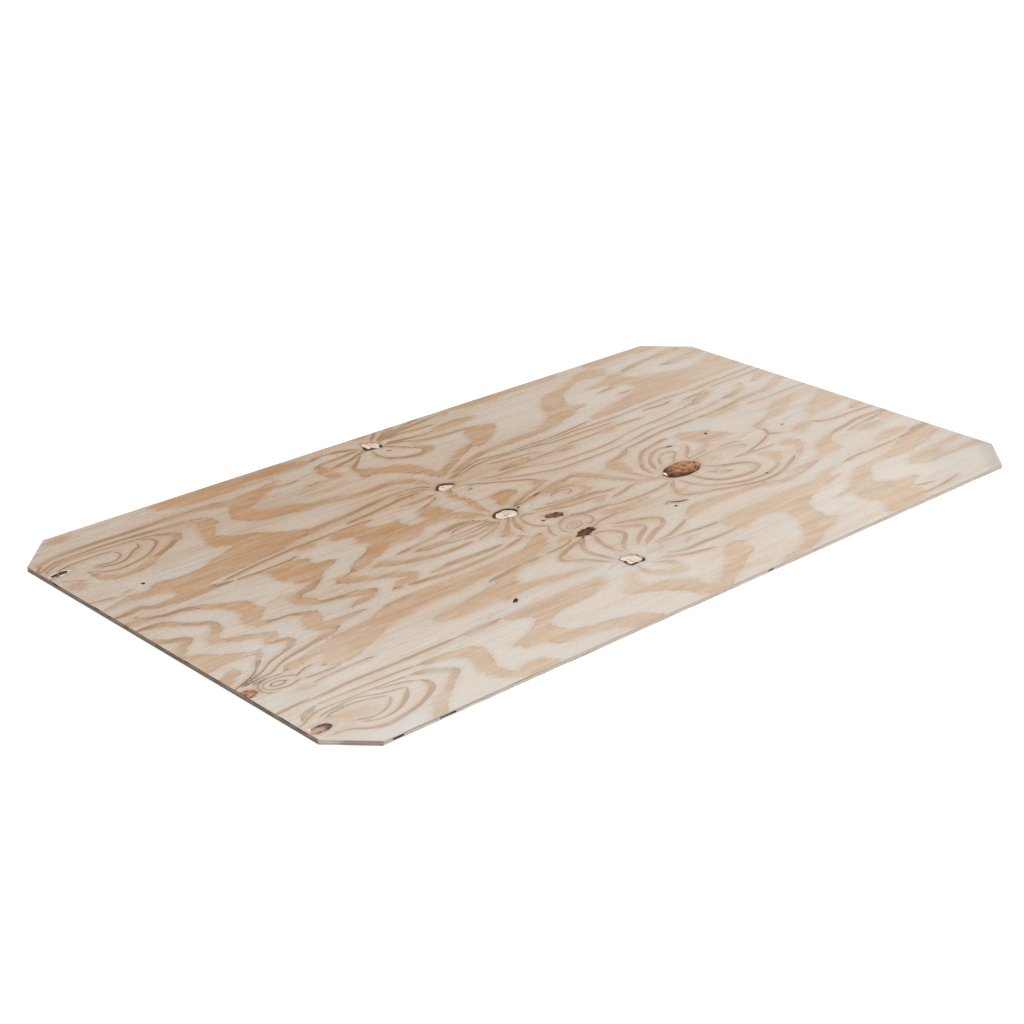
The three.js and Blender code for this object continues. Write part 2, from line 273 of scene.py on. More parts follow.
# Wide bands: the side with the dark, sharp edge, seen the way they run, then x, y and half
# width of each point.
BANDS = (
    # right of the third knot hole
    (BOTH, -40, 10, 2, -15, 15, 2.2, 18, 23, 3, 50, 28, 4.5, 80, 33, 6),
    # upper left
    (LEFT, -600, 262, 2, -593, 268, 2, -582, 279, 3, -570, 284, 3, -555, 286, 3, -500, 288, 3,
     -445, 287, 3, -401, 288, 4, -374, 287, 4, -350, 287, 4, -321, 281, 8, -300, 276, 12,
     -283, 274, 15),
    (LEFT, -601, 255, 2, -576, 268, 2, -561, 272, 2.5, -509, 274, 2.5, -470, 273, 2.5, -441, 271, 3,
     -413, 268, 3, -393, 265, 4, -374, 260, 6, -363, 253, 9, -358, 243, 10, -370, 230, 9,
     -378, 214, 9, -388, 199, 10, -392, 184, 12),
    (LEFT, -440, 259, 2, -432, 256, 2.5, -422, 251, 3, -413, 243, 5, -407, 238, 4, -417, 228, 4,
     -428, 220, 3, -441, 212, 3, -453, 207, 3, -466, 201, 4, -480, 193, 6, -501, 184, 5,
     -513, 182, 5, -528, 183, 5, -540, 186, 6, -548, 194, 6, -552, 205, 4, -554, 219, 2),
    # under the great band
    (RIGHT, -601, 90, 2, -586, 89, 3, -572, 91, 4, -561, 93, 4, -557, 88, 3, -547, 83, 4,
     -528, 82, 5, -509, 81, 7, -478, 82, 6, -459, 80, 3, -436, 79, 2),
    (LEFT, -357, 13, 8, -378, 3, 6, -400, -4, 4, -415, -12, 6, -411, -21, 8, -401, -31, 7,
     -395, -38, 3, -374, -42, 3, -345, -50, 6, -328, -56, 3, -345, -65, 5, -380, -74, 3),
    # zigzags at the left
    (LEFT, -601, 13, 5, -590, 4, 4, -580, -2, 4, -568, -6, 4, -565, -13, 4, -572, -17, 5,
     -584, -23, 5, -591, -31, 5, -599, -44, 4),
    (LEFT, -531, -99, 3.4, -542, -111, 2.8, -548, -116, 2.1, -553, -121, 1.7, -561, -128, 1.5,
     -570, -133, 1.4, -582, -138, 1.3, -600, -145, 1.2),
    (LEFT, -601, 46, 2, -590, 46, 2.5, -576, 44, 4, -566, 40, 6, -559, 33, 6, -549, 25, 4,
     -538, 15, 4, -526, 8, 4, -522, 2, 4, -524, -6, 5, -528, -13, 5, -536, -21, 5, -543, -27, 6,
     -547, -35, 7, -536, -42, 4, -522, -48, 5, -509, -54, 5, -497, -60, 6, -488, -64, 5,
     -490, -69, 6, -497, -75, 6, -505, -79, 4, -491, -83, 3, -482, -87, 4, -481, -94, 4,
     -486, -100, 4, -495, -106, 3, -509, -111, 2, -522, -115, 2, -537, -121, 1.8, -547, -128, 1.6,
     -557, -133, 1.5, -567, -137, 1.4, -578, -140, 1.4, -592, -145, 1.3),
    (LEFT, -601, 67, 3, -586, 67, 6, -566, 64, 3, -549, 59, 3, -532, 58, 3, -515, 52, 4,
     -505, 46, 5, -494, 37, 6, -484, 26, 7, -474, 14, 8, -472, 4, 9, -475, -8, 10, -484, -20, 10,
     -487, -30, 8, -472, -36, 3, -459, -39, 2, -445, -40, 2, -432, -47, 4, -420, -56, 6,
     -430, -66, 10, -440, -79, 10, -431, -89, 7, -405, -88, 4, -386, -88, 3, -368, -89, 1.5),
    (LEFT, -418, -101, 4, -440, -108, 5, -465, -115, 3, -490, -120, 2.5, -509, -124, 2.2,
     -527, -130, 1.8, -540, -137, 1.6, -550, -141, 1.5, -563, -142, 1.5, -577, -144, 1.4,
     -590, -147, 1.3),
    # lower left
    (LEFT, -536, -147, 3, -520, -141, 7, -505, -138, 4, -482, -134, 6, -459, -132, 9,
     -432, -128, 10, -401, -126, 12, -374, -122, 13, -350, -114, 16, -330, -110, 15, -300, -108, 14,
     -250, -109, 13, -215, -107, 10, -185, -105, 9, -150, -104, 9, -120, -103, 9, -100, -94, 11,
     -85, -82, 8, -72, -72, 4),
    (RIGHT, -497, -165, 4, -482, -166, 9, -466, -163, 13, -451, -161, 12, -432, -153, 11,
     -413, -147, 10, -396, -141, 8, -382, -137, 4, -365, -135, 2, -351, -135, 2),
    (LEFT, -340, -216, 3, -315, -216, 4, -292, -216, 3, -271, -215, 4),
    (LEFT, -590, -249, 2.5, -578, -240, 4, -568, -235, 3, -556, -231, 2),
    (LEFT, -420, -236, 3, -401, -238, 4, -382, -241, 6, -366, -247, 8, -350, -256, 13,
     -352, -272, 11, -360, -288, 11, -362, -301, 14, -360, -316, 17, -345, -330, 18),
    (LEFT, -440, -248, 2.5, -422, -252, 4, -411, -259, 5, -401, -268, 5, -391, -274, 3,
     -401, -282, 4, -412, -290, 4, -424, -299, 4, -440, -309, 5, -453, -318, 7, -466, -330, 8,
     -474, -341, 8),
    (LEFT, -440, -263, 2.5, -433, -272, 3.2, -436, -284, 3.6, -446, -293, 3, -461, -301, 2.6,
     -478, -308, 2.4, -500, -313, 2.4, -519, -316, 2.8, -533, -315, 2.8, -544, -310, 2.2,
     -553, -304, 2, -560, -298, 1.8, -570, -295, 1.6, -584, -293, 1.5),
    (LEFT, -458, -267, 1.8, -463, -273, 2.4, -470, -281, 2.6, -480, -289, 2.6, -493, -297, 2.2,
     -508, -301, 1.8, -523, -302, 1.6, -534, -298, 1.6, -544, -292, 1.5),
    (LEFT, -485, -269, 1.6, -488, -275, 2.2, -495, -282, 2.2, -505, -288, 1.8, -517, -292, 1.6,
     -530, -292, 1.6, -541, -288, 1.5, -548, -284, 1.4),
    # top, left of the first knot hole
    (RIGHT, -142, 312, 3, -125, 318, 3, -110, 321, 3),
    (RIGHT, -283, 275, 15, -300, 255, 15, -313, 237, 15, -310, 218, 13, -290, 210, 12,
     -262, 205, 11, -243, 196, 10, -225, 192, 5, -205, 190, 5, -190, 187, 6, -175, 182, 6,
     -160, 179, 5, -140, 178, 4, -115, 180, 4, -97, 176, 5, -85, 169, 6, -76, 158, 5, -70, 144, 3),
    (RIGHT, -140, 295, 5, -145, 280, 8, -148, 265, 9, -146, 252, 8, -140, 243, 3),
    (LEFT, -133, 275, 4, -119, 278, 3, -102, 282, 3),
    (BOTH, -72, 286, 1.2, -86, 274, 1.8, -98, 264, 2.6, -110, 253, 3.5, -115, 244, 4),
    (LEFT, -300, 127, 5, -283, 131, 5, -260, 135, 4, -235, 137, 3.5, -200, 141, 3, -177, 145, 3,
     -138, 149, 2.5, -112, 150, 2.5),
    (BOTH, -146, 113, 4, -127, 111, 3.5, -108, 111, 2.5, -88, 113, 2),
    # the flame between the first and the second knot hole
    (RIGHT, -116, 231, 8, -95, 226, 9, -78, 218, 10, -62, 206, 12, -52, 192, 11, -46, 178, 8,
     -42, 166, 8, -36, 157, 5, -24, 163, 4, -10, 171, 4.5, 5, 180, 5, 20, 189, 5, 35, 196, 5.5,
     52, 204, 7, 70, 211, 10),
    (BOTH, -22, 311, 3, 0, 325, 3.5, 15, 334, 4, 26, 345, 4),
    (RIGHT, -25, 149, 2, 0, 158, 3, 36, 171, 4, 62, 177, 4.5, 95, 180, 5, 120, 181, 5, 150, 181, 6,
     175, 181, 6),
    (BOTH, 28, 115, 1.5, 42, 117, 2, 58, 119, 4, 71, 119, 6, 83, 121, 5, 95, 124, 3),
    (LEFT, -52, 285, 2, -55, 268, 2.5, -51, 254, 3, -40, 244, 3, -25, 237, 3, -8, 234, 3.5,
     8, 238, 5, 14, 245, 6, 5, 253, 5, -2, 259, 2),
    (BOTH, -62, 110, 4, -72, 98, 5.5, -74, 84, 5, -68, 70, 5, -72, 56, 5, -75, 42, 5, -74, 20, 4.5),
    # left of the third knot hole
    (RIGHT, -292, -8, 3, -277, -8, 6, -263, -17, 6, -250, -25, 4, -231, -29, 4, -219, -33, 4,
     -196, -36, 3, -150, -34, 2.5),
    (RIGHT, -227, -8, 4, -204, -10, 5, -188, -11, 5, -173, -17, 3, -158, -20, 2),
    (RIGHT, -353, -13, 3, -340, -13, 8, -327, -21, 6, -311, -31, 5, -294, -38, 5, -279, -48, 5,
     -267, -54, 4, -277, -61, 6, -296, -63, 6, -302, -67, 6, -315, -71, 3),
    (BOTH, -350, -10, 2, -338, -4, 2.5, -323, 0, 3),
    (LEFT, -323, 0, 3, -306, 8, 6, -292, 15, 8, -273, 23, 8, -254, 33, 10, -235, 42, 11,
     -215, 43, 13, -196, 43, 14, -184, 47, 10, -167, 50, 6, -146, 50, 6, -123, 46, 8, -108, 38, 9,
     -96, 29, 7, -88, 20, 4, -82, 11, 3),
    (BOTH, -250, -66, 2.5, -235, -65, 3, -215, -62, 3.5, -196, -63, 4, -177, -64, 3.5, -150, -65, 3,
     -129, -64, 2),
    (BOTH, -298, -69, 1.5, -285, -75, 2, -265, -76, 3, -246, -79, 3.5, -227, -81, 3.5,
     -204, -81, 3.5, -181, -81, 3.2, -158, -79, 3, -138, -76, 2.6, -119, -71, 2.4, -96, -66, 2),
    (BOTH, -217, -134, 2, -204, -131, 3, -185, -128, 3, -165, -125, 3, -146, -123, 4,
     -119, -123, 2),
    (RIGHT, -118, -47, 3, -110, -49, 5, -101, -43, 4, -90, -32, 3, -78, -20, 2.5, -70, -12, 2),
    (BOTH, -84, -54, 3.5, -82, -44, 3.5, -77, -31, 3, -71, -21, 2.5, -62, -12, 2),
    (LEFT, -52, -225, 2.5, -55, -238, 3.5, -50, -250, 5, -42, -259, 5, -30, -265, 5, -19, -263, 7,
     -14, -255, 5, -13, -247, 4, -20, -239, 3, -31, -230, 2),
    # right of the third knot hole
    (RIGHT, 80, 33, 5, 95, 30, 7, 104, 20, 6, 111, 8, 5, 118, -4, 5, 126, -16, 4.5, 134, -28, 4,
     140, -38, 4.5, 146, -44, 4, 160, -50, 3, 172, -52, 2.5),
    (BOTH, 142, 22, 3, 155, 29, 4, 170, 34, 4, 188, 39, 4, 204, 47, 3.5, 214, 52, 2.5),
    # right of the sound knot
    (BOTH, 235, -82, 4, 243, -90, 5, 255, -97, 5, 266, -100, 4),
    (BOTH, 370, 65, 3, 400, 65, 3, 440, 68, 3, 475, 73, 4, 510, 75, 4, 535, 76, 4, 560, 84, 5,
     580, 92, 6, 601, 100, 7),
    (BOTH, 400, 107, 4, 420, 110, 4, 435, 117, 5, 450, 123, 5, 470, 128, 3),
    (BOTH, 455, 92, 2.5, 470, 94, 3.5, 490, 97, 4, 508, 105, 6, 520, 113, 6, 527, 120, 3),
    (BOTH, 545, 111, 3, 560, 117, 5, 580, 124, 6, 601, 123, 6),
    (BOTH, 519, -182, 2.5, 537, -181, 3, 559, -179, 3.5, 577, -176, 3.5, 601, -173, 4),
    (BOTH, 500, 256, 3, 530, 256, 5, 560, 258, 6, 601, 263, 6),
    (BOTH, 430, 276, 4, 450, 280, 4, 470, 285, 3.5, 490, 288, 3.5, 530, 292, 4, 560, 295, 6,
     580, 291, 5),
    (BOTH, 415, 115, 2, 440, 119, 2.5),
    (BOTH, 566, -62, 3, 578, -58, 6, 590, -54, 8, 601, -52, 10),
)

SHARP, SOFT = 1, 0
# Whole fields of one band: closed outlines in runs of x, y, each run with the kind of the
# edge that leads on from its points.
FIELDS = (
    # the blunt end of the band under the first hole, and under the fourth hole its leg and loop
    ((SHARP, -122, 224, -118, 237, -112, 249), (SOFT, -100, 246, -90, 236, -88, 216),
     (SHARP, -98, 218, -106, 222, -116, 217)),
    ((SOFT, -72, -227, -66, -234, -75, -246, -83, -258, -80, -271), (SHARP, -94, -285, -104, -279,
     -120, -271), (SOFT, -117, -261, -107, -255, -88, -243)),
    ((SHARP, -14, -243, -8, -252, -7, -267, -23, -274), (SOFT, -36, -269, -25, -259, -19, -250)),
    # the oval by the near left knot
    ((SHARP, -607, -124, -596, -113, -583, -106, -569, -104, -568, -114), (SOFT, -578, -123,
     -590, -131, -607, -140)),
    # the corner of the band at the lower left
    ((SHARP, -507, 55, -495, 46, -479, 35, -466, 28, -457, 25, -460, 10, -452, -7),
     (SOFT, -466, -13, -484, -20, -489, 5, -487, 16, -505, 38)),
    # the arm from the far band towards the first knot hole
    ((SHARP, -303, 279, -279, 286, -253, 287, -226, 291), (SOFT, -204, 294, -221, 280, -245, 266,
     -267, 255, -289, 243, -312, 231, -322, 240, -315, 260)),
    # the wedge over the near left knot
    ((SHARP, -533, -88, -522, -95), (SOFT, -531, -104, -543, -113.5), (SHARP, -548, -113,
     -539, -101)),
    # the great band and its branch
    ((SHARP, -601, 116, -576, 124, -555, 131, -547, 128, -528, 128, -515, 137, -503, 141, -495, 133,
     -470, 132, -436, 137, -426, 146, -401, 152, -388, 157), (SOFT, -379, 164, -401, 174, -401, 186,
     -397, 200), (SHARP, -378, 205, -365, 189, -352, 182, -335, 177, -325, 166, -311, 155,
     -292, 145, -273, 138), (SOFT, -300, 122, -327, 115), (SHARP, -338, 110, -370, 107.5, -400, 104,
     -436, 97.5, -466, 94, -503, 89), (SOFT, -513, 88, -512, 104, -528, 110, -547, 112, -566, 114,
     -601, 112)),
    # under it, in the middle left
    ((SOFT, -404, 76, -398, 58, -402, 44, -397, 34, -384, 17), (SHARP, -357, 9, -350, 19, -335, 29,
     -321, 35, -308, 40, -315, 47, -331, 49, -342, 52, -338, 58, -328, 70, -336, 70),
     (SOFT, -344, 74, -350, 80)),
    ((SHARP, -586, -46, -572, -56, -561, -67, -545, -77, -526, -89), (SOFT, -524, -95, -549, -87,
     -586, -85, -601, -92, -601, -52)),
    # above and below the left nests
    ((SOFT, -281, 84, -258, 82, -254, 69, -266, 56, -250, 52, -262, 36), (SHARP, -240, 30, -205, 34,
     -188, 46, -176, 58, -182, 72, -172, 84, -198, 80, -226, 92, -215, 99), (SOFT, -200, 106,
     -280, 105)),
    ((SOFT, -150, 50), (SHARP, -108, 44), (SOFT, -106, 62, -112, 86, -148, 86)),
    ((SOFT, -332, 92, -300, 88, -296, 104, -330, 104),),
    ((SOFT, -338, -170), (SHARP, -325, -159, -300, -156, -273, -155, -261, -149, -242, -148,
     -227, -144, -200, -141, -186, -132, -150, -126), (SOFT, -136, -128, -158, -134, -177, -143,
     -187, -153, -192, -163, -169, -168, -148, -172, -129, -176, -115, -180, -98, -188, -85, -196,
     -104, -194, -138, -191, -158, -188, -169, -182, -215, -182, -231, -188, -242, -182, -311, -181,
     -333, -176)),
    ((SOFT, -272, -218, -262, -211, -200, -212, -123, -212, -102, -216, -104, -222),
     (SHARP, -119, -236, -146, -245, -177, -247, -204, -247, -227, -255, -242, -265, -238, -278,
     -234, -290, -215, -297, -196, -301, -177, -305, -158, -311, -138, -318, -128, -330),
     (SOFT, -124, -342, -176, -342, -186, -326, -196, -323, -215, -318, -242, -312),
     (SHARP, -262, -309, -274, -301, -263, -296, -283, -293, -304, -290, -301, -281, -315, -275,
     -296, -270, -277, -265, -263, -257, -246, -247, -243, -236, -260, -229)),
    # the top edge
    ((SOFT, -398, 342, -388, 318, -360, 306, -300, 303, -220, 302), (SHARP, -152, 307, -138, 313),
     (SOFT, -142, 324, -160, 332, -180, 342)),
    ((SOFT, -52, 342, -42, 330, -24, 328, -14, 342),),
    ((SOFT, 130, 328, 170, 324, 208, 317, 222, 321, 250, 326, 300, 322, 334, 321, 352, 331,
     362, 342, 120, 342),),
    ((SOFT, 104, 322), (SHARP, 116, 320), (SOFT, 126, 332, 108, 334)),
    ((SHARP, 58, 284), (SOFT, 66, 279, 100, 279, 140, 284, 146, 294, 112, 303, 80, 301, 66, 293)),
    # flames at the top right
    ((SOFT, 62, 203, 72, 221, 80, 236, 84, 252), (SHARP, 98, 262, 118, 261, 131, 254, 147, 250,
     138, 239, 128, 228, 115, 218, 100, 210, 86, 203, 74, 198)),
    ((SHARP, 160, 176, 195, 178, 212, 182, 226, 190, 245, 195, 258, 197, 270, 206, 288, 210,
     301, 214, 282, 222, 272, 232, 278, 242, 286, 250, 292, 258, 302, 268, 320, 275, 335, 285,
     350, 289, 364, 291, 380, 288), (SOFT, 402, 284, 430, 300, 410, 318, 380, 318, 350, 303,
     320, 291, 290, 284, 262, 276, 245, 263, 235, 250, 228, 235, 215, 216, 198, 204, 180, 194,
     160, 188)),
    ((SHARP, 250, 160, 300, 160, 322, 160, 345, 164, 380, 166, 430, 163, 470, 166, 520, 167,
     560, 170), (SOFT, 601, 168, 601, 246, 580, 238, 562, 229, 545, 226, 530, 221, 510, 222,
     490, 229, 470, 236, 450, 241, 438, 242, 428, 248, 416, 258, 430, 270, 420, 282, 398, 278,
     370, 264), (SHARP, 352, 259, 337, 257), (SOFT, 350, 253, 372, 250, 372, 236, 398, 232,
     402, 215, 385, 201, 362, 199, 350, 193, 335, 190, 315, 188, 290, 181, 262, 172)),
    ((SOFT, 404, 342, 402, 318, 430, 318, 470, 318, 500, 322, 522, 314, 548, 316, 570, 320,
     552, 342),),
    # flames in the middle right
    ((SOFT, 30, 50), (SHARP, 38, 61, 46, 57, 54, 48, 45, 41), (SOFT, 30, 36, 18, 33)),
    ((SHARP, -53, 21, -48, 33, -43, 43), (SOFT, -43, 57), (SHARP, -31, 58, -18, 63, -4, 58, 2, 46),
     (SOFT, -8, 40, -18, 38, -28, 35, -36, 25)),
    ((SOFT, 52, -15, 64, -9), (SHARP, 72, 1, 78, 5, 76, -4, 82, -12), (SOFT, 76, -18, 62, -19)),
    ((SOFT, 50, -44), (SHARP, 66, -43, 71, -49), (SOFT, 58, -56, 46, -55)),
    ((SOFT, 128, -40, 150, -38, 150, -49, 130, -50),),
    ((SOFT, 286, 30), (SHARP, 305, 44, 318, 38, 328, 30, 350, 25, 348, 16, 356, 5, 363, -5),
     (SOFT, 366, -12, 348, -15, 330, -15, 314, -15, 302, -22, 290, -30, 282, -28, 300, -8, 304, 2,
     294, 16)),
    ((SOFT, 139, 12, 147, 24, 158, 30, 176, 33, 174, 20, 167, 4, 163, -12, 156, -18, 150, -6),),
    ((SOFT, 20, -76, 60, -80, 112, -80, 112, -92, 60, -96, 30, -90),),
    ((SOFT, 132, 104, 138, 120, 156, 124, 176, 116, 160, 102),),
    ((SOFT, 226, 112, 240, 130, 272, 132, 262, 114),),
    ((SOFT, 376, 51, 400, 64, 462, 67, 456, 52, 410, 48),),
    ((SOFT, 404, -24), (SHARP, 405, -14, 425, -7, 440, -3, 455, 2, 465, 9, 475, 18, 486, 23,
     500, 28, 511, 35, 530, 33, 550, 36, 565, 38), (SOFT, 601, 39, 601, 30, 575, 27, 558, 30,
     540, 26, 525, 13, 506, 5, 490, -3, 470, -9, 450, -7, 430, -13, 416, -20)),
    ((SHARP, 499, -22, 515, -19, 526, -14, 540, -8, 555, -2, 566, 5, 580, 11), (SOFT, 601, 22,
     601, -4, 588, -16, 601, -26, 601, -34, 572, -37, 545, -42, 520, -40, 500, -47, 478, -47,
     502, -38, 512, -28)),
    ((SOFT, 440, -54, 470, -49, 490, -54, 470, -66, 444, -78, 432, -70),),
    ((SOFT, 325, -92, 340, -84), (SHARP, 356, -95, 361, -103, 352, -114), (SOFT, 338, -123,
     322, -126, 336, -112)),
    ((SOFT, 364, -126, 380, -114, 396, -98, 380, -90, 386, -80, 408, -76), (SHARP, 418, -88,
     414, -100, 402, -111, 388, -120), (SOFT, 372, -130)),
    ((SOFT, 395, -141, 405, -128, 420, -118, 440, -108, 462, -102, 486, -98), (SHARP, 466, -110,
     450, -118, 441, -130, 441, -145), (SOFT, 430, -152, 400, -154), (SHARP, 370, -161, 345, -168,
     325, -174, 300, -178), (SOFT, 282, -178, 262, -176, 238, -166, 205, -160, 165, -162, 130, -167,
     100, -173, 92, -170), (SHARP, 106, -158, 122, -147, 136, -141, 165, -141, 200, -149, 240, -157,
     266, -160, 286, -169), (SOFT, 300, -166, 318, -156, 345, -152, 370, -152)),
    ((SOFT, 504, -116, 530, -106, 556, -112, 560, -130, 530, -138, 508, -134),),
    ((SOFT, 560, -122, 575, -108, 592, -104, 601, -110, 601, -122),),
    ((SOFT, 486, -164, 510, -154, 540, -150, 566, -154, 566, -168, 540, -172, 500, -174),),
    ((SOFT, 408, -208, 432, -206, 455, -205, 470, -202), (SHARP, 485, -197, 503, -193, 527, -189,
     554, -186), (SOFT, 584, -183, 594, -190, 590, -204, 573, -206), (SHARP, 558, -211, 543, -216,
     517, -219, 496, -224, 478, -223, 454, -219, 432, -218, 408, -221)),
    ((SOFT, 451, -250, 468, -239, 486, -232, 505, -230, 525, -230, 543, -231, 567, -229, 601, -227,
     601, -242, 571, -243, 541, -246, 524, -250, 541, -257, 568, -256, 587, -255, 601, -255),
     (SHARP, 601, -274, 579, -272, 561, -269, 532, -267, 506, -266, 489, -267), (SOFT, 468, -262)),
    # flames along the near edge
    ((SOFT, 74, -254), (SHARP, 88, -256, 97, -262, 113, -264, 94, -268, 88, -274, 97, -280,
     86, -290, 75, -296, 60, -302, 50, -310, 35, -318, 20, -323, 0, -332), (SOFT, -4, -342,
     -52, -342), (SHARP, -54, -328, -60, -312, -70, -301, -85, -290, -100, -280, -112, -270),
     (SOFT, -122, -268, -110, -258, -92, -256, -76, -269, -60, -273, -45, -280, -30, -290,
     -25, -302, -28, -316, -18, -322, -6, -318, 12, -307, 25, -297, 38, -288, 50, -277, 60, -265)),
    ((SOFT, 118, -199, 170, -195, 250, -195, 300, -196, 330, -193, 352, -187, 378, -185, 400, -186,
     372, -191, 356, -197, 340, -204), (SHARP, 366, -206, 345, -215, 320, -220, 300, -222,
     285, -228, 265, -235, 250, -245, 243, -254, 240, -266, 238, -280, 234, -291, 258, -294,
     240, -300, 225, -308, 205, -313, 190, -320, 172, -329), (SOFT, 150, -334, 110, -342, 84, -342,
     96, -332, 130, -322, 150, -315, 165, -305, 180, -290, 194, -275, 200, -262, 204, -250,
     200, -239, 190, -231, 165, -229, 145, -238, 124, -243, 116, -220)),
    ((SHARP, 288, -256), (SOFT, 305, -253, 322, -247, 340, -238, 360, -227, 376, -217, 394, -210,
     414, -208), (SHARP, 414, -221, 396, -231, 381, -245), (SOFT, 373, -255, 385, -265, 400, -275),
     (SHARP, 425, -279, 437, -284, 420, -291), (SOFT, 400, -298, 404, -312, 392, -324, 388, -342,
     298, -342, 312, -320, 325, -306, 317, -291, 311, -276, 320, -263), (SHARP, 306, -259)),
    ((SOFT, -352, -342, -352, -322, -326, -313, -302, -318, -296, -330, -292, -342),),
)

# Small pieces of a band: x, y, half length, half width and tilt in degrees.
SPOTS = (
    (-104, -51, 11, 7, 20), (-548, -268, 27, 9, -4), (-585, 193, 16, 12, 0),
    (-587, 277, 12, 6, -55), (-541, -272, 30, 9, 0), (-542, -193, 15, 8, 0),
    (-586, -229, 14, 4, 30), (-22, -84, 13, 6.5, 12), (-98, -150, 10, 12, 0), (35, -147, 7, 9, 0),
    (67, -142, 8, 9, 0), (-32, -169, 5, 12, -15), (-61, -107, 14, 8, 0), (8, -207, 11, 4, 0),
    (-93, -166, 13, 7, -50), (-40, -187, 6, 5, 0), (292, -115, 10, 5, 35), (160, -107, 9, 11, 0),
    (62, -209, 7, 4, 20), (-529, 325, 22, 10, 4), (265, 15, 9, 4, -10), (463, 127, 10, 5, 20),
    (378, -240, 10, 7, 30), (578, -110, 16, 8, 10), (-21, -238, 5, 7, 20),
)

LINE_TONE = 0.45  # how golden a line of half width 2 mm is, beside 1 for a wide band
SPOT_TONE = 0.9
REACH = 16.0  # how far from a band its field is worked out
FAR = -8.0  # the field's value outside that
OUTSIDE = 40.0  # a distance that no field's inside reaches


def smooth_path(points, step=5.0):
    """A Catmull-Rom curve through rows of x, y, half width, sampled about every step."""
    rows = np.vstack([2 * points[0] - points[1], points, 2 * points[-1] - points[-2]])
    out = []
    for a, b, c, d in zip(rows, rows[1:], rows[2:], rows[3:]):
        count = max(1, int(round(math.dist(b[:2], c[:2]) / step)))
        t = (np.arange(count) / count)[:, None]
        square = (2 * a - 5 * b + 4 * c - d) * t**2
        cube = (3 * b - a - 3 * c + d) * t**3
        out.append(0.5 * (2 * b + (c - a) * t + square + cube))
    out.append(points[-1:])
    return np.vstack(out)


def taper_ends(path):
    """Draws a band's ends out to points where they lie inside the sheet."""
    along = np.concatenate([[0], np.cumsum(np.hypot(*np.diff(path[:, :2], axis=0).T))])
    for end, distance in ((path[0], along), (path[-1], along[-1] - along)):
        if abs(end[0]) < HALF_LENGTH - 2 and abs(end[1]) < HALF_WIDTH - 2:
            path[:, 2] *= np.clip(0.15 + distance / (3.5 * max(end[2], 2.0) + 4), 0, 1)
    return path


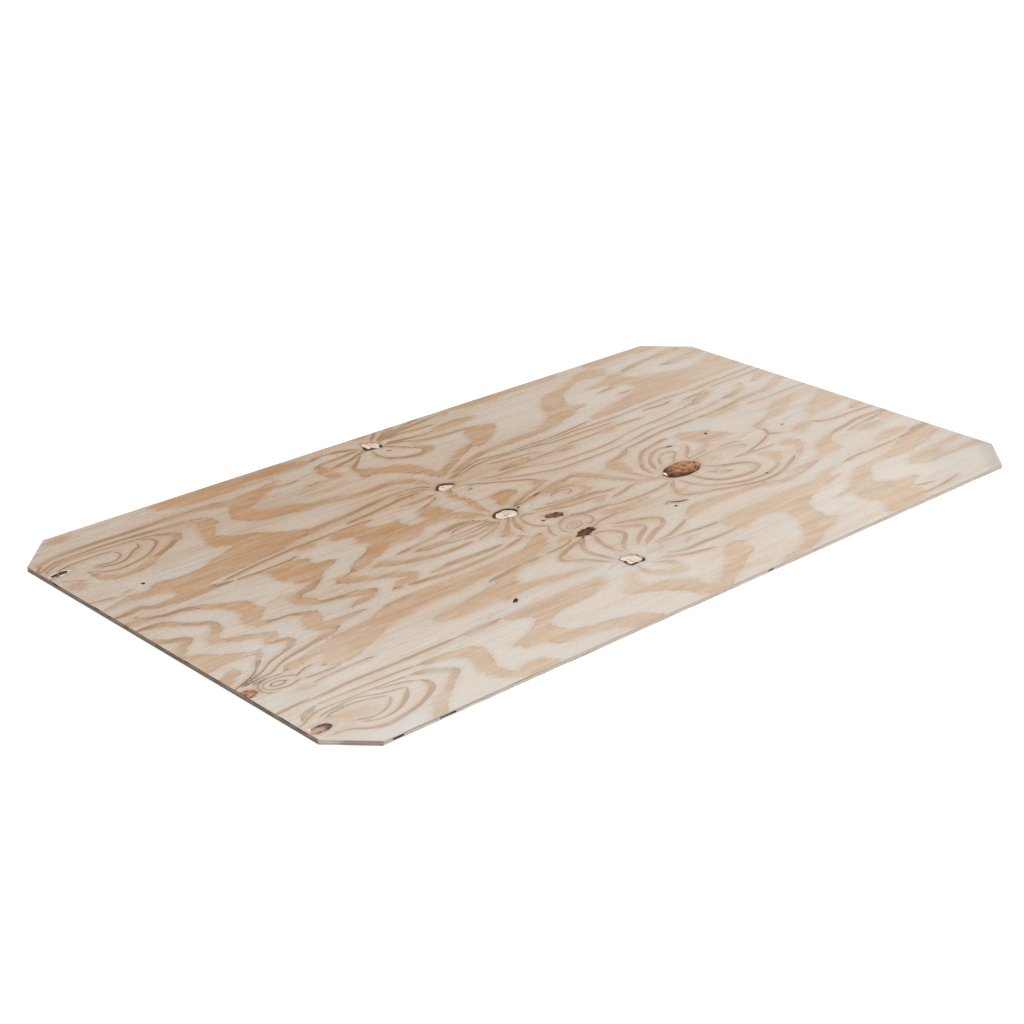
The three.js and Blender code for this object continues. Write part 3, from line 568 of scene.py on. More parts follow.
class Figure:
    """The bands at a set of points: for each point, how far inside its band's sharp and
    soft sides it is, the larger depth of all bands, the lean of the band and its tone."""

    def __init__(self, points):
        self.points = points
        self.sharp, self.soft, self.depth = np.full((3, len(points)), FAR)
        self.lean, self.tone = np.zeros((2, len(points)))

    def near(self, low, high, reach):
        inside = np.all((self.points > low - reach) & (self.points < high + reach), axis=1)
        return np.nonzero(inside)[0]

    def keep(self, index, sharp, soft, lean, tone):
        """Takes over a band's values at the points that lie deeper in it than in others."""
        depth = np.minimum(sharp, soft)
        better = depth > self.depth[index]
        chosen = index[better]
        self.depth[chosen] = depth[better]
        mine = (self.sharp, self.soft, self.lean, self.tone)
        for kept, value in zip(mine, (sharp, soft, lean, tone)):
            kept[chosen] = value[better]

    def add_stroke(self, points, side):
        closed = np.allclose(points[0, :2], points[-1, :2])
        path = smooth_path(points)
        if not closed:
            path = taper_ends(path)
        reach = REACH + path[:, 2].max()
        index = self.near(path[:, :2].min(0), path[:, :2].max(0), reach)
        if not len(index):
            return
        here = self.points[index]
        best = np.full(len(index), np.inf)
        offset, width, lean = np.zeros((3, len(index)))
        for a, b in zip(path[:-1], path[1:]):
            run = b[:2] - a[:2]
            length = math.hypot(*run) + 1e-9
            run = run / length
            apart = np.abs(here - (a[:2] + b[:2]) / 2)
            close = np.nonzero(np.all(apart < reach + length, axis=1))[0]
            rel = here[close] - a[:2]
            t = np.clip(rel @ run / length, 0, 1)
            gap = rel - t[:, None] * (b[:2] - a[:2])
            half = a[2] + t * (b[2] - a[2])
            distance = np.hypot(gap[:, 0], gap[:, 1])
            score = distance - half
            better = score < best[close]
            chosen = close[better]
            cross = run[0] * rel[better, 1] - run[1] * rel[better, 0]
            best[chosen] = score[better]
            offset[chosen] = np.where(cross < 0, -1, 1) * distance[better]
            width[chosen] = half[better]
            lean[chosen] = abs(run[1])
        ok = np.isfinite(best)
        index, offset, width, lean = index[ok], offset[ok], width[ok], lean[ok]
        tone = np.clip(LINE_TONE + (width - 2) * 0.09, 0, 1)
        across = offset * (side if side else 1)
        # A band fades out slowly on its soft side.
        fade = (0.45 * width + 0.8) * np.clip((width - 1.4) / 1.6, 0, 1)
        self.keep(index, width - across, width + fade + across, lean, tone)

    def add_field(self, corners, kinds):
        """A closed outline whose edges are sharp or soft, with its corners cut."""
        ends = np.roll(corners, -1, axis=0)
        cuts = [corners * 0.75 + ends * 0.25, corners * 0.25 + ends * 0.75]
        corners = np.stack(cuts, axis=1).reshape(-1, 2)
        kinds = np.column_stack([kinds, np.maximum(kinds, np.roll(kinds, -1))]).ravel()
        index = self.near(corners.min(0), corners.max(0), REACH)
        here = self.points[index]
        inside = polygon_contains(corners, here)
        distances = np.full((2, len(index)), OUTSIDE)
        lean = np.zeros(len(index))
        nearest = np.full(len(index), OUTSIDE)
        for a, b, kind in zip(corners, np.roll(corners, -1, axis=0), kinds):
            run = b - a
            rel = here - a
            t = np.clip(rel @ run / (run @ run), 0, 1)
            distance = np.hypot(*(rel - t[:, None] * run).T)
            distances[kind] = np.minimum(distances[kind], distance)
            lean = np.where(distance < nearest, abs(run[1]) / math.hypot(*run), lean)
            nearest = np.minimum(nearest, distance)
        # Outside, only the nearest edge says how far away the field is.
        depths = np.where(~inside & (distances <= nearest + 1e-6), -nearest, distances)
        self.keep(index, depths[SHARP], depths[SOFT], lean, np.ones(len(index)))

    def add_spot(self, x, y, half_length, half_width, tilt):
        middle = np.array([x, y])
        index = self.near(middle, middle, half_length + half_width + REACH)
        u, v = (turned(self.points[index], x, y, tilt) / (half_length, half_width)).T
        radius = np.hypot(u, v)
        depth = (1 - radius) * min(half_length, half_width)
        tone = np.full(len(index), SPOT_TONE)
        self.keep(index, np.full(len(index), -FAR), 0.8 * depth, np.abs(u) / (radius + 1e-6), tone)


def figure_at(points):
    figure = Figure(points)
    for width, *rest in LINES:
        flat = np.array(rest, float).reshape(-1, 2)
        figure.add_stroke(np.column_stack([flat, np.full(len(flat), width)]), BOTH)
    for side, *rest in BANDS:
        figure.add_stroke(np.array(rest, float).reshape(-1, 3), side)
    for runs in FIELDS:
        corners = np.concatenate([np.array(run[1:], float).reshape(-1, 2) for run in runs])
        kinds = np.concatenate([np.full(len(run) // 2, run[0]) for run in runs])
        figure.add_field(corners, kinds)
    for spot in SPOTS:
        figure.add_spot(*spot)
    # Where two bands' ranges meet, the change from one to the other mustn't look like a band.
    most = np.maximum(2 + 3 * np.clip((figure.tone - 0.5) / 0.26, 0, 1), -figure.depth - 2)
    outside = figure.depth < 0
    for side in (figure.sharp, figure.soft):
        side[outside] = np.minimum(side, most)[outside]
    return figure


# ---------------------------------------------------------------- knots in the face veneer

# Knots and pits that don't go through: x, y, half length, half width, turn, depth, colour,
# dark ring (middle angle, spread, strength) and raggedness.
KNOTS = (
    (214.5, -51.5, 34.5, 20, 7, 0.25, "sound", (200, 95, 1.4), 0.08),
    (-20.5, -44, 14, 7.5, -14, 0.5, "red", (200, 180, 0.1), 0.3),
    (-28, -109, 17, 8, 14, 0.7, "bark", (0, 180, 0.5), 0.4),
    (-596, -162, 13, 9, 0, 0.35, "red_pale", (150, 100, 0.36), 0.08),
    (-584, -275, 14, 8, 4, 0.4, "mauve", (15, 115, 0.55), 0.1),
    (-582, 239, 15.5, 6.6, 6, 0.1, "white", (0, 180, 0.0), 0.1),
    (-227, -192, 6, 3.2, 35, 0.5, "bark", (0, 180, 1.0), 0.3),
    (-522, 148, 2.4, 3, 0, 0.5, "bark", (0, 180, 1.0), 0.15),
    (-580, 76, 2.6, 2, 0, 0.15, "red_pale", (0, 180, 0.1), 0.15),
    (-513, 46.5, 1.6, 1.4, 0, 0.15, "grey", (0, 180, 0.05), 0.1),
    (-37, 5.6, 2.6, 2, 20, 0.4, "bark", (0, 180, 1.0), 0.1),
    (-42, -47, 3, 2, -20, 0.4, "bark", (0, 180, 0.6), 0.2),
    (336.5, 15, 3.6, 2.6, 30, 0.4, "red", (0, 180, 0.35), 0.12),
    (443, -36, 4, 2, 15, 0.15, "grey", (0, 180, 0.05), 0.2),
    (113, -118, 2.4, 1.6, 30, 0.3, "grey", (0, 180, 0.2), 0.2),
    (117, -131, 3, 2, 0, 0.5, "brown", (0, 180, 0.6), 0.15),
    (289, -139, 2.6, 1.6, 20, 0.3, "grey", (0, 180, 0.6), 0.2),
    (10, 21, 8, 1.6, 14, 0.1, "brown", (0, 180, 0.3), 0.2),
    (-33, 273, 4, 2.4, -30, 0.1, "grey", (0, 180, 0.0), 0.2),
    (-42, 94, 5, 2.6, 20, 0.1, "grey", (0, 180, 0.0), 0.2),
    (262, 16, 6, 2.2, -15, 0.1, "brown", (0, 180, 0.2), 0.3),
)
BIG_KNOTS = 5  # how many of them the fibres flow round
# Chips out of two of the knots: x, y, half length, half width and turn.
CHIPS = ((186, -48, 6.5, 2.6, 68), (-594.5, -269.5, 3.8, 2.1, 62))
CHIP_DEPTH = 0.9

# What the fibres part round: x, y, half length and half width of each hole and big knot.
FLOW_KNOTS = (
    *((x, y, length / 2, width / 2) for x, y, length, width, *_ in KNOT_HOLES),
    *(knot[:4] for knot in KNOTS[:BIG_KNOTS]),
)


# ---------------------------------------------------------------- plane geometry and noise


def polygon_contains(loop, points):
    inside = np.zeros(len(points), bool)
    for a, b in zip(loop, np.roll(loop, -1, axis=0)):
        crosses = (a[1] > points[:, 1]) != (b[1] > points[:, 1])
        rise = b[1] - a[1] if b[1] != a[1] else 1e-9
        inside ^= crosses & (points[:, 0] < a[0] + (points[:, 1] - a[1]) * (b[0] - a[0]) / rise)
    return inside


def rotated(u, v, x, y, turn):
    """Sheet coordinates of u, v in the frame of something at x, y with a turn in degrees."""
    turn = math.radians(turn)
    return np.column_stack([
        x + u * math.cos(turn) - v * math.sin(turn),
        y + u * math.sin(turn) + v * math.cos(turn),
    ])


def turned(points, x, y, turn):
    """Points in the frame of something at x, y that is turned by an angle in degrees."""
    turn = math.radians(turn)
    rel = points - (x, y)
    return np.column_stack([
        rel[:, 0] * math.cos(turn) + rel[:, 1] * math.sin(turn),
        rel[:, 1] * math.cos(turn) - rel[:, 0] * math.sin(turn),
    ])


def angle_gap(angle, middle):
    return np.abs((np.degrees(angle) - middle + 180) % 360 - 180)


def smooth_step(value, low, high):
    share = np.clip((value - low) / (high - low), 0, 1)
    return share * share * (3 - 2 * share)


def lattice_noise(x, y, seed):
    """Smooth value noise from -1 to 1 with cells of size 1."""
    xi, yi = np.floor(x).astype(np.int64), np.floor(y).astype(np.int64)
    fx, fy = x - xi, y - yi
    fx, fy = fx * fx * (3 - 2 * fx), fy * fy * (3 - 2 * fy)

    def corner(i, j):
        h = (i * 374761393 + j * 668265263 + seed * 1442695041) & 0xFFFFFFFF
        h = ((h ^ (h >> 13)) * 1274126177) & 0xFFFFFFFF
        return (h ^ (h >> 16)) / 0xFFFFFFFF * 2 - 1

    low = corner(xi, yi) * (1 - fx) + corner(xi + 1, yi) * fx
    high = corner(xi, yi + 1) * (1 - fx) + corner(xi + 1, yi + 1) * fx
    return low * (1 - fy) + high * fy


def layered_noise(x, y, seed):
    return (lattice_noise(x, y, seed) + 0.5 * lattice_noise(2.1 * x, 2.1 * y, seed + 1)) / 1.5


# ---------------------------------------------------------------- outline and side walls

# Height and inset of each row of the side walls, from the face down to the back. The worn
# core lies behind the two outer veneers, and a groove runs along each glue line.
WALL_ROWS = (
    (6.0, 0.3), (5.86, 0.08), (5.5, 0.0), (4.6, 0.02), (4.3, 0.12), (4.16, 0.46), (3.5, 0.38),
    (2.5, 0.38), (1.84, 0.46), (1.7, 0.12), (1.4, 0.02), (0.5, 0.0), (0.14, 0.08), (0.0, 0.3),
)
FACE_ROWS = range(0, 5)
CORE_ROWS = range(5, 9)
STATION = 4.6  # usual distance between two columns of a side wall
GAP_STATION = 1.3  # distance between them at a gap or a splinter
LONG_SIDES = ("near", "far")
SHORT_SIDES = ("left", "right")


def sheet_sides():
    """Name, start and end of the sheet's eight sides, anticlockwise."""
    x, y = HALF_LENGTH, HALF_WIDTH
    cut = CORNER_CUTS
    corners = np.array([
        (-x + cut["near_left"], -y), (x - cut["near_right"], -y),
        (x, -y + cut["near_right"]), (x, y - cut["far_right"]),
        (x - cut["far_right"], y), (-x + cut["far_left"], y),
        (-x, y - cut["far_left"]), (-x, -y + cut["near_left"]),
    ])
    names = ("near", "near_right", "right", "far_right", "far", "far_left", "left", "near_left")
    return list(zip(names, corners, np.roll(corners, -1, axis=0)))


def inside_sheet(points, margin):
    """Whether points lie inside the sheet's outline, clear of it by a margin."""
    inside = np.ones(len(points), bool)
    for _, start, end in sheet_sides():
        run = (end - start) / math.dist(start, end)
        inside &= (points - start) @ np.array([-run[1], run[0]]) > margin
    return inside


def stations(name, start, end):
    """Distances of the columns along one side, closer together at gaps and splinters."""
    length = math.dist(start, end)
    places = list(np.linspace(0, length, max(2, int(length / STATION)) + 1)[:-1])
    axis = 0 if name in LONG_SIDES else 1
    for middle, width, _ in CORE_GAPS.get(name, ()) + SPLINTERS.get(name, ()):
        centre = abs(middle - start[axis])
        reach = width / 2
        fine = centre + np.linspace(-reach, reach, int(width / GAP_STATION) + 2)
        places = [p for p in places if abs(p - centre) > reach + 1.2 or p == 0]
        places += [*fine, centre - reach - 0.35, centre + reach + 0.35]
    return sorted(places), length


def pushed_in(name, place):
    """How far a gap pushes in the core and a splinter the face, at a place along a side."""
    core = face = 0.0
    for middle, width, depth in CORE_GAPS.get(name, ()):
        offset, radius = abs(place - middle), width / 2
        if offset <= radius + 1e-6:
            core = depth - radius + math.sqrt(max(0.0, radius**2 - offset**2))
    for middle, width, depth in SPLINTERS.get(name, ()):
        side = 1 if name == "right" else -1
        share = side * (place - middle) / width + 0.5
        if 0 <= share <= 1:
            face = depth * math.sin(math.pi * math.sqrt(share))
    return core, face


def wall_insets(around, long_side, push_core, push_face):
    """The inset of each point of one column, from the face down to the back."""
    # How long the relief of the outer veneers and of the core runs.
    outer, cross = (40.0, 5.0) if long_side else (5.0, 40.0)
    insets = []
    for row, (z, inset) in enumerate(WALL_ROWS):
        if row in CORE_ROWS:
            inset += push_core + 0.1 * layered_noise(around / cross, z * 1.3, 5)
        elif row in FACE_ROWS:
            inset += push_face * (1 - 0.12 * (row > 2))
            inset += 0.06 * layered_noise(around / outer, z * 1.1, 9)
            if row < 2:
                inset += 0.9 * max(0.0, lattice_noise(around / 17.0, 0.5, 21) - 0.45)
            if push_face:
                inset += 0.25 * layered_noise(around / 1.7, z * 0.7, 13) * min(1, push_face)
        else:
            inset += 0.06 * layered_noise(around / outer, z * 1.1, 31)
        insets.append(max(0.0, inset))
    return insets


def side_walls():
    """Columns of the side walls: array of column, row, xyz, and per column its distance
    round the sheet, the kind of its side and how far its core is pushed in."""
    sides = sheet_sides()
    normals = []
    for _, start, end in sides:
        run = (end - start) / math.dist(start, end)
        normals.append(np.array([run[1], -run[0]]))
    columns, values = [], []
    walked = 0.0
    for number, (name, start, end) in enumerate(sides):
        places, length = stations(name, start, end)
        kind = 0 if name in LONG_SIDES else 1 if name in SHORT_SIDES else 2
        for place in places:
            base = start + (end - start) * place / length
            normal = normals[number]
            if place == 0:
                both = normal + normals[number - 1]
                normal = both / (both @ both) * 2
            push_core, push_face = pushed_in(name, base[0 if kind == 0 else 1])
            insets = wall_insets(walked + place, kind == 0, push_core, push_face)
            rows = zip(WALL_ROWS, insets)
            columns.append([(*(base - normal * inset), z) for (z, _), inset in rows])
            values.append((walked + place, kind, push_core))
        walked += length
    return np.array(columns), np.array(values)


# ---------------------------------------------------------------- knot holes

HOLE_STEPS = 84
SPLIT_STEPS = 16
# Rings of the split: how much narrower it is, height, and how dark it is.
SPLIT_LEVELS = ((0.0, THICKNESS, 0.7), (0.12, 5.6, 1.0), (0.3, 4.9, 1.0), (0.4, 4.25, 1.0))
SMALL_HOLE = 12  # a hole narrower than this has a finer rim and a dark floor
FLOOR_RINGS = (0.82, 0.6, 0.38, 0.18)  # as shares of the hole's floor


def rim_radius(hole, angle):
    _, _, length, width, _, ripples, _ = hole
    along, across = length / 2, width / 2
    radius = along * across / np.hypot(across * np.cos(angle), along * np.sin(angle))
    share = 0
    for waves, height, crest in ripples:
        share = share + height * np.cos(waves * (angle - math.radians(crest)))
    return radius * (1 + share)


def bark_width(hole, angle):
    """How far the rest of the bark stands into the hole, at each angle."""
    width = np.zeros_like(angle)
    for middle, spread, thick in hole[6]:
        near = np.clip(1.25 - angle_gap(angle, middle) / spread, 0, 1)
        width = np.maximum(width, thick * near**0.7)
    return width


def hole_point(hole, angle, radius):
    x, y, _, _, turn, *_ = hole
    angle = angle + math.radians(turn)
    return np.column_stack([x + radius * np.cos(angle), y + radius * np.sin(angle)])


def hole_rings(hole, seed):
    """Rings of a knot hole from its rim down and in to its floor, as xyz rows, with how
    dark each ring is. The last ring is followed by one middle point."""
    angle = np.arange(HOLE_STEPS) / HOLE_STEPS * 2 * math.pi
    small = min(hole[2], hole[3]) < SMALL_HOLE
    rough = layered_noise(angle * 6, np.zeros_like(angle), seed) * (0.2 if small else 0.45)
    rough = rough * np.clip(np.minimum(angle, 2 * math.pi - angle) * 2, 0, 1)
    rim = rim_radius(hole, angle) + rough * 0.6
    torn = layered_noise(angle * 9, np.ones_like(angle), seed + 3)
    bark = bark_width(hole, angle) * (1 + 0.35 * torn)
    bark = np.minimum(bark, rim * (0.85 if small else 0.7))
    tapered = rim * HOLE_TAPER
    fine = layered_noise(angle * 16, np.full_like(angle, 2.0), seed + 5)
    level = np.ones_like(angle)
    walls = (
        (rim, THICKNESS * level, 0.0),
        (rim - 0.15, 5.92 + 0.02 * fine, 0.8),
        (rim - 0.25 - 0.45 * bark + 0.12 * fine, 5.8 + 0.1 * fine, 1.0),
        (rim - 0.3 - 0.92 * bark - 0.15 * fine, 5.65 + 0.12 * fine, 1.0),
        (tapered - 0.2 - bark + 0.2 * fine, 4.5 * level, 0.9),
        (tapered - 0.4 - 1.05 * bark + 0.15 * fine, (CORE_TOP + 0.01) * level, 0.3),
    )
    rings = []
    for radius, z, dark in walls:
        radius = np.maximum(radius, 0.12 * rim + 0.01 * (6.1 - z))
        strength = dark * np.clip(0.35 + bark * 0.8, 0, 1)
        rings.append((np.column_stack([hole_point(hole, angle, radius), z]), strength))
    inner = np.maximum(walls[-1][0], 0.15 * rim)
    for share in FLOOR_RINGS:
        xy = hole_point(hole, angle, inner * share)
        z = CORE_TOP + 0.05 * layered_noise(xy[:, 0] / 3.0, xy[:, 1] / 9.0, seed + 7)
        rings.append((np.column_stack([xy, z]), (0.8 if small else 0.0) * level))
    return rings, np.array([hole[0], hole[1], CORE_TOP])


def split_rings():
    """The split beside the sound knot, as rings of its two sides from rim to floor."""
    share = np.arange(SPLIT_STEPS) / SPLIT_STEPS
    share = np.concatenate([share, 1 - share])
    side = np.repeat([0.0, 1.0], SPLIT_STEPS)
    bow = 1 - (2 * share - 1) ** 2
    rings = []
    for shrink, z, dark in SPLIT_LEVELS:
        across = -(SPLIT_SAG - SPLIT_WIDTH * (side * (1 - shrink) + shrink / 2)) * bow
        along = (share - 0.5) * SPLIT_LENGTH * (1 - 0.04 * shrink)
        xy = rotated(along, across, SPLIT_X, SPLIT_Y, SPLIT_TURN)
        rings.append((np.column_stack([xy, np.full(len(xy), z)]), np.full(len(xy), dark)))
    return rings


# ---------------------------------------------------------------- points and triangles of the face

GRID = (1.85, 1.6)  # finest spacing of the face's points, along and across the grain
JITTER = 0.25  # how far a point may lie off the grid, as a share of that
NARROW_TONE = 0.62  # a band with a tone below this is narrow
STEEP_LEAN = 0.3  # one that leans more than this runs across the grain
KNOT_MARGINS = (22, 16)  # how far round a hole or a big knot the points lie closer together
CLEAR_OF_EDGE = 2.2  # how far the grid keeps away from the sheet's outline
HOLE_REACH = 40  # no hole reaches farther than this from its middle
BIG_RINGS = (0, 0.12, 0.25, 0.38, 0.5, 0.62, 0.74, 0.84, 0.92, 1.0, 1.08, 1.18)
SMALL_RINGS = (0, 0.45, 0.85, 1.1, 1.45)
CHIP_RINGS = (0, 0.35, 0.7, 0.9, 1.05, 1.25)
CHIP_CLEAR = 1.35
# Rings round a hole, as shares of its size, and which of the rim's points each one follows.
RIM_RINGS = ((1.05, 1), (1.12, 2), (1.24, 2))
RIM_CLEAR = 1.3


def knot_share(knot, points):
    """Distance from a knot's middle as a share of its radius there, and the angle."""
    x, y, along, across, turn = knot[:5]
    u, v = (turned(points, x, y, turn) / (along, across)).T
    return np.hypot(u, v), np.arctan2(v, u)


def ring_points(x, y, along, across, turn, shares, steps):
    """Ellipses of points round x, y at shares of its size, with fewer points toward it."""
    rings = []
    for number, share in enumerate(shares):
        count = max(1, int(steps * min(1, 0.35 + share * 0.65))) if share else 1
        angle = (np.arange(count) + 0.5 * (number % 2)) / count * 2 * math.pi
        u, v = along * share * np.cos(angle), across * share * np.sin(angle)
        rings.append(rotated(u, v, x, y, turn))
    return np.vstack(rings)


def numbers_inside(loop, points):
    """The numbers of the points that lie inside a hole's outline."""
    near = np.nonzero(np.abs(points - loop.mean(0)).max(1) < HOLE_REACH)[0]
    return near[polygon_contains(loop, points[near])]


def grid_points():
    """A jittered grid, the closer the narrower a band is and the more it leans."""
    columns, rows = int(HALF_LENGTH / GRID[0]), int(HALF_WIDTH / GRID[1])
    step = np.array([HALF_LENGTH / columns, HALF_WIDTH / rows])
    corner = np.array([-HALF_LENGTH, -HALF_WIDTH])
    i, j = np.meshgrid(np.arange(columns), np.arange(rows), indexing="ij")
    figure = figure_at(corner + (np.column_stack([i.ravel(), j.ravel()]) + 0.5) * 2 * step)
    narrow = (figure.tone < NARROW_TONE) & (figure.depth > -5)
    steep = figure.lean > STEEP_LEAN
    level = np.where(np.abs(figure.depth) < 5, np.where(steep, 2, 3), 4)
    level = np.where(narrow, np.where(steep, 0, 1), level).reshape(columns, rows)

    i, j = np.meshgrid(np.arange(2 * columns), np.arange(2 * rows), indexing="ij")
    level = level[i // 2, j // 2].ravel()
    i, j = i.ravel(), j.ravel()
    grid = corner + (np.column_stack([i, j]) + 0.5) * step
    for x, y, *size in FLOW_KNOTS:
        share = np.hypot(*((grid - (x, y)) / np.add(size, KNOT_MARGINS)).T)
        level = np.where(share < 1, np.minimum(level, 2), level)
    keep = (
        (level == 0)
        | ((level == 1) & (i % 2 == 0))
        | ((level == 2) & (i % 2 == 0) & (j % 2 == 0))
        | ((level == 3) & ((i + j) % 4 == 0) & (j % 2 == 0))
        | ((level == 4) & (i % 4 == 0) & (j % 4 == 0))
    )
    grid = grid + JITTER * step * np.random.default_rng(7).uniform(-1, 1, grid.shape)
    points = grid[keep]
    return points[inside_sheet(points, CLEAR_OF_EDGE)]


def face_points(rims):
    """The points inside the face: close together where the figure or a knot needs it."""
    points = grid_points()
    rings = []
    for hole, rim in zip(KNOT_HOLES, rims):
        centre = np.array(hole[:2], float)
        out = rim[:, :2] - centre
        rings += [centre + out[::every] * share for share, every in RIM_RINGS]
        points = np.delete(points, numbers_inside(centre + out * RIM_CLEAR, points), axis=0)
    for x, y, along, across, turn, *_, name, _, _ in KNOTS:
        if name == "white":  # its middle is a hole
            continue
        shares, steps, clear = (BIG_RINGS, 72, 0.06) if across > 7 else (SMALL_RINGS, 14, 0.3)
        rings.append(ring_points(x, y, along, across, turn, shares, steps))
        share, _ = knot_share((x, y, along, across, turn), points)
        points = points[share > shares[-1] + clear]
    for chip in CHIPS:
        rings = [ring[knot_share(chip, ring)[0] > CHIP_CLEAR] for ring in rings]
        rings.append(ring_points(*chip, CHIP_RINGS, 22))
    u, v = turned(points, SPLIT_X, SPLIT_Y, SPLIT_TURN).T
    points = points[~((np.abs(u) < 18) & (np.abs(v + 2.5) < 5.5))]
    along = np.linspace(-17, 17, 26)
    bow = SPLIT_SAG * np.clip(1 - (2 * along / SPLIT_LENGTH) ** 2, 0, 1)
    half = SPLIT_WIDTH / 2
    for across in (half + 2.6, half + 1.0, -0.1 * SPLIT_WIDTH - 1.4, -0.1 * SPLIT_WIDTH - 3.0):
        rings.append(rotated(along, across - bow, SPLIT_X, SPLIT_Y, SPLIT_TURN))
    rings = np.vstack(rings)
    points = np.vstack([points, rings[inside_sheet(rings, 1.0)]])
    for rim in rims:
        points = np.delete(points, numbers_inside(rim[:, :2], points), axis=0)
    return points


def triangulate(loops, inner):
    """Triangles between the loops, as indices into the loops' points and then the inner
    points. The first loop is the outline and the others are holes."""
    points = np.vstack([*loops, inner])
    edges, start = [], 0
    for loop in loops:
        count = len(loop)
        edges += [(start + k, start + (k + 1) % count) for k in range(count)]
        start += count
    flat = [Vector(p) for p in points]
    verts, _, faces, origins, _, _ = delaunay_2d_cdt(flat, edges, [], 1, 1e-6, True)
    source = np.array([o[0] if o else -1 for o in origins])
    if len(verts) != len(points) or (source < 0).any():
        raise RuntimeError(f"the face's points don't match: {len(points)} in, {len(verts)} out")
    triangles = source[np.array([f for f in faces if len(f) == 3])]
    for loop in loops[1:]:
        triangles = np.delete(triangles, numbers_inside(loop, points[triangles].mean(1)), axis=0)
    return triangles


# ---------------------------------------------------------------- what the face's points store

FAR_FROM_KNOT = -30.0


def flow_line(points):
    """Across-the-grain coordinate of the fibres, which part round the knots."""
    x, y = points.T
    flow = y + 3.0 * lattice_noise(x / 260, y / 60, 41)
    for kx, ky, _, across in FLOW_KNOTS:
        dx, dy = (x - kx) / 2.2, y - ky
        size = (across + 3.0) ** 2
        flow = flow - dy * size / np.maximum(dx * dx + dy * dy, size)
    return flow


def knot_fields(points):
    """Per point: the number of millimetres inside a knot's ragged outline, the dark ring's
    strength, the angle round the knot, its colour and how deep it lies."""
    count = len(points)
    inside = np.full(count, FAR_FROM_KNOT)
    ring, rays, dip = np.zeros((3, count))
    colour = np.tile(linear(KNOT_COLOURS["sound"]), (count, 1))
    for number, knot in enumerate(KNOTS):
        x, y, along, across, _, depth, name, (middle, spread, strength), ragged = knot
        index = np.nonzero(np.hypot(*(points - (x, y)).T) < along - FAR_FROM_KNOT)[0]
        share, angle = knot_share(knot, points[index])
        share = share * (1 + ragged * layered_noise(angle * 4 + 3, share * 1.5, 50 + number))
        depth_in = (1 - share) * across
        if across < 5:
            depth_in = np.where(depth_in < 0, 4 * depth_in, depth_in)
        better = depth_in > inside[index]
        chosen, share, angle = index[better], share[better], angle[better]
        inside[chosen] = depth_in[better]
        rays[chosen] = angle
        ring[chosen] = strength * np.clip(1.4 - angle_gap(angle, middle) / spread, 0, 1)
        dip[chosen] = depth * np.clip((1.0 - share) / 0.25 + 0.3, 0, 1)
        colour[chosen] = linear(KNOT_COLOURS[name])
        colour[chosen, :3] *= 1 - 0.6 * (ring[chosen] * np.clip(share, 0, 1) ** 1.5)[:, None]
    return inside, ring, rays, colour, dip


def rim_distance(points):
    """How far each point lies from the nearest hole or split, as a negative number."""
    distance = np.full(len(points), -20.0)
    for hole in KNOT_HOLES:
        u, v = turned(points, hole[0], hole[1], hole[4]).T
        outside = np.hypot(u, v) - rim_radius(hole, np.arctan2(v, u) % (2 * math.pi))
        distance = np.maximum(distance, -outside)
    u, v = turned(points, SPLIT_X, SPLIT_Y, SPLIT_TURN).T
    bow = np.clip(1 - (2 * u / SPLIT_LENGTH) ** 2, 0, 1)
    above = v + (SPLIT_SAG - SPLIT_WIDTH / 2) * bow
    across = np.abs(above) - (SPLIT_WIDTH / 2 + 1.6 * (above > 0)) * bow
    return np.maximum(distance, np.where(np.abs(u) < SPLIT_LENGTH / 2, -across, -20))


# Soft patches of the face, where more painted sheen lies on it, where its pale wood is deeper
# in colour and where its bands are fainter: x, y, length, width and strength.
SHEEN_PATCHES = (
    (-545, -58, 110, 75, 0.42), (-180, -58, 85, 70, 0.34), (570, 200, 90, 170, 0.2),
    (600, -40, 110, 200, 0.14), (-600, 190, 100, 120, 0.08),
)
DEEPER = (
    (-350, 235, 150, 110, 0.34), (14, 128, 42, 13, 0.5), (40, 20, 36, 13, 0.35),
    (-535, -271, 30, 11, 0.7),
)
FAINTER = (
    (100, -70, 230, 160, 0.3), (-390, 140, 150, 110, -0.32), (75, 121, 36, 12, 0.45),
    (-500, -250, 60, 50, 0.2), (245, 10, 45, 24, 0.35), (-24, 44, 40, 30, -0.9),
    (-92, -255, 34, 34, 0.3), (-40, -195, 75, 48, 0.35), (-515, 5, 110, 95, -0.35),
    (545, 40, 120, 250, 0.3), (-587, -120, 30, 26, -0.9),
)


def patches(points, rows):
    total = np.zeros(len(points))
    for x, y, length, width, strength in rows:
        u, v = ((points - (x, y)) / (length, width)).T
        total += strength * np.exp(-(u**2) - v**2)
    return total


def sheen_and_tone(points):
    """How much painted sheen, a pale reflection, lies on the wood, most of all toward the near
    edge and the two ends, how much deeper its pale wood is and how much fainter its bands are."""
    x, y = points.T
    to_right = 0.05 + 0.57 * smooth_step(x, -50, 450)
    to_near = 0.75 * smooth_step(-y, 20, 280)
    sheen = to_right + (1 - to_right) * to_near + 0.27 * smooth_step(-x, 200, 560)
    sheen = np.minimum(sheen + patches(points, SHEEN_PATCHES), 1.05)
    return np.column_stack([sheen, patches(points, DEEPER), patches(points, FAINTER)])


# ---------------------------------------------------------------- the sheet's mesh

FACE, HOLE, EDGE, BACK = range(4)  # material slots
FACE_DROP = 0.032  # how far the face's figure lies under the sheet's top
BAND_RISE = 0.02  # how far a band stands up out of the wood that is worn around it
BACK_STEP = 14.0  # spacing of the back's points
BACK_MARGIN = 5.0
SHARP_ANGLE = 40  # degrees, above which an edge is shaded sharp


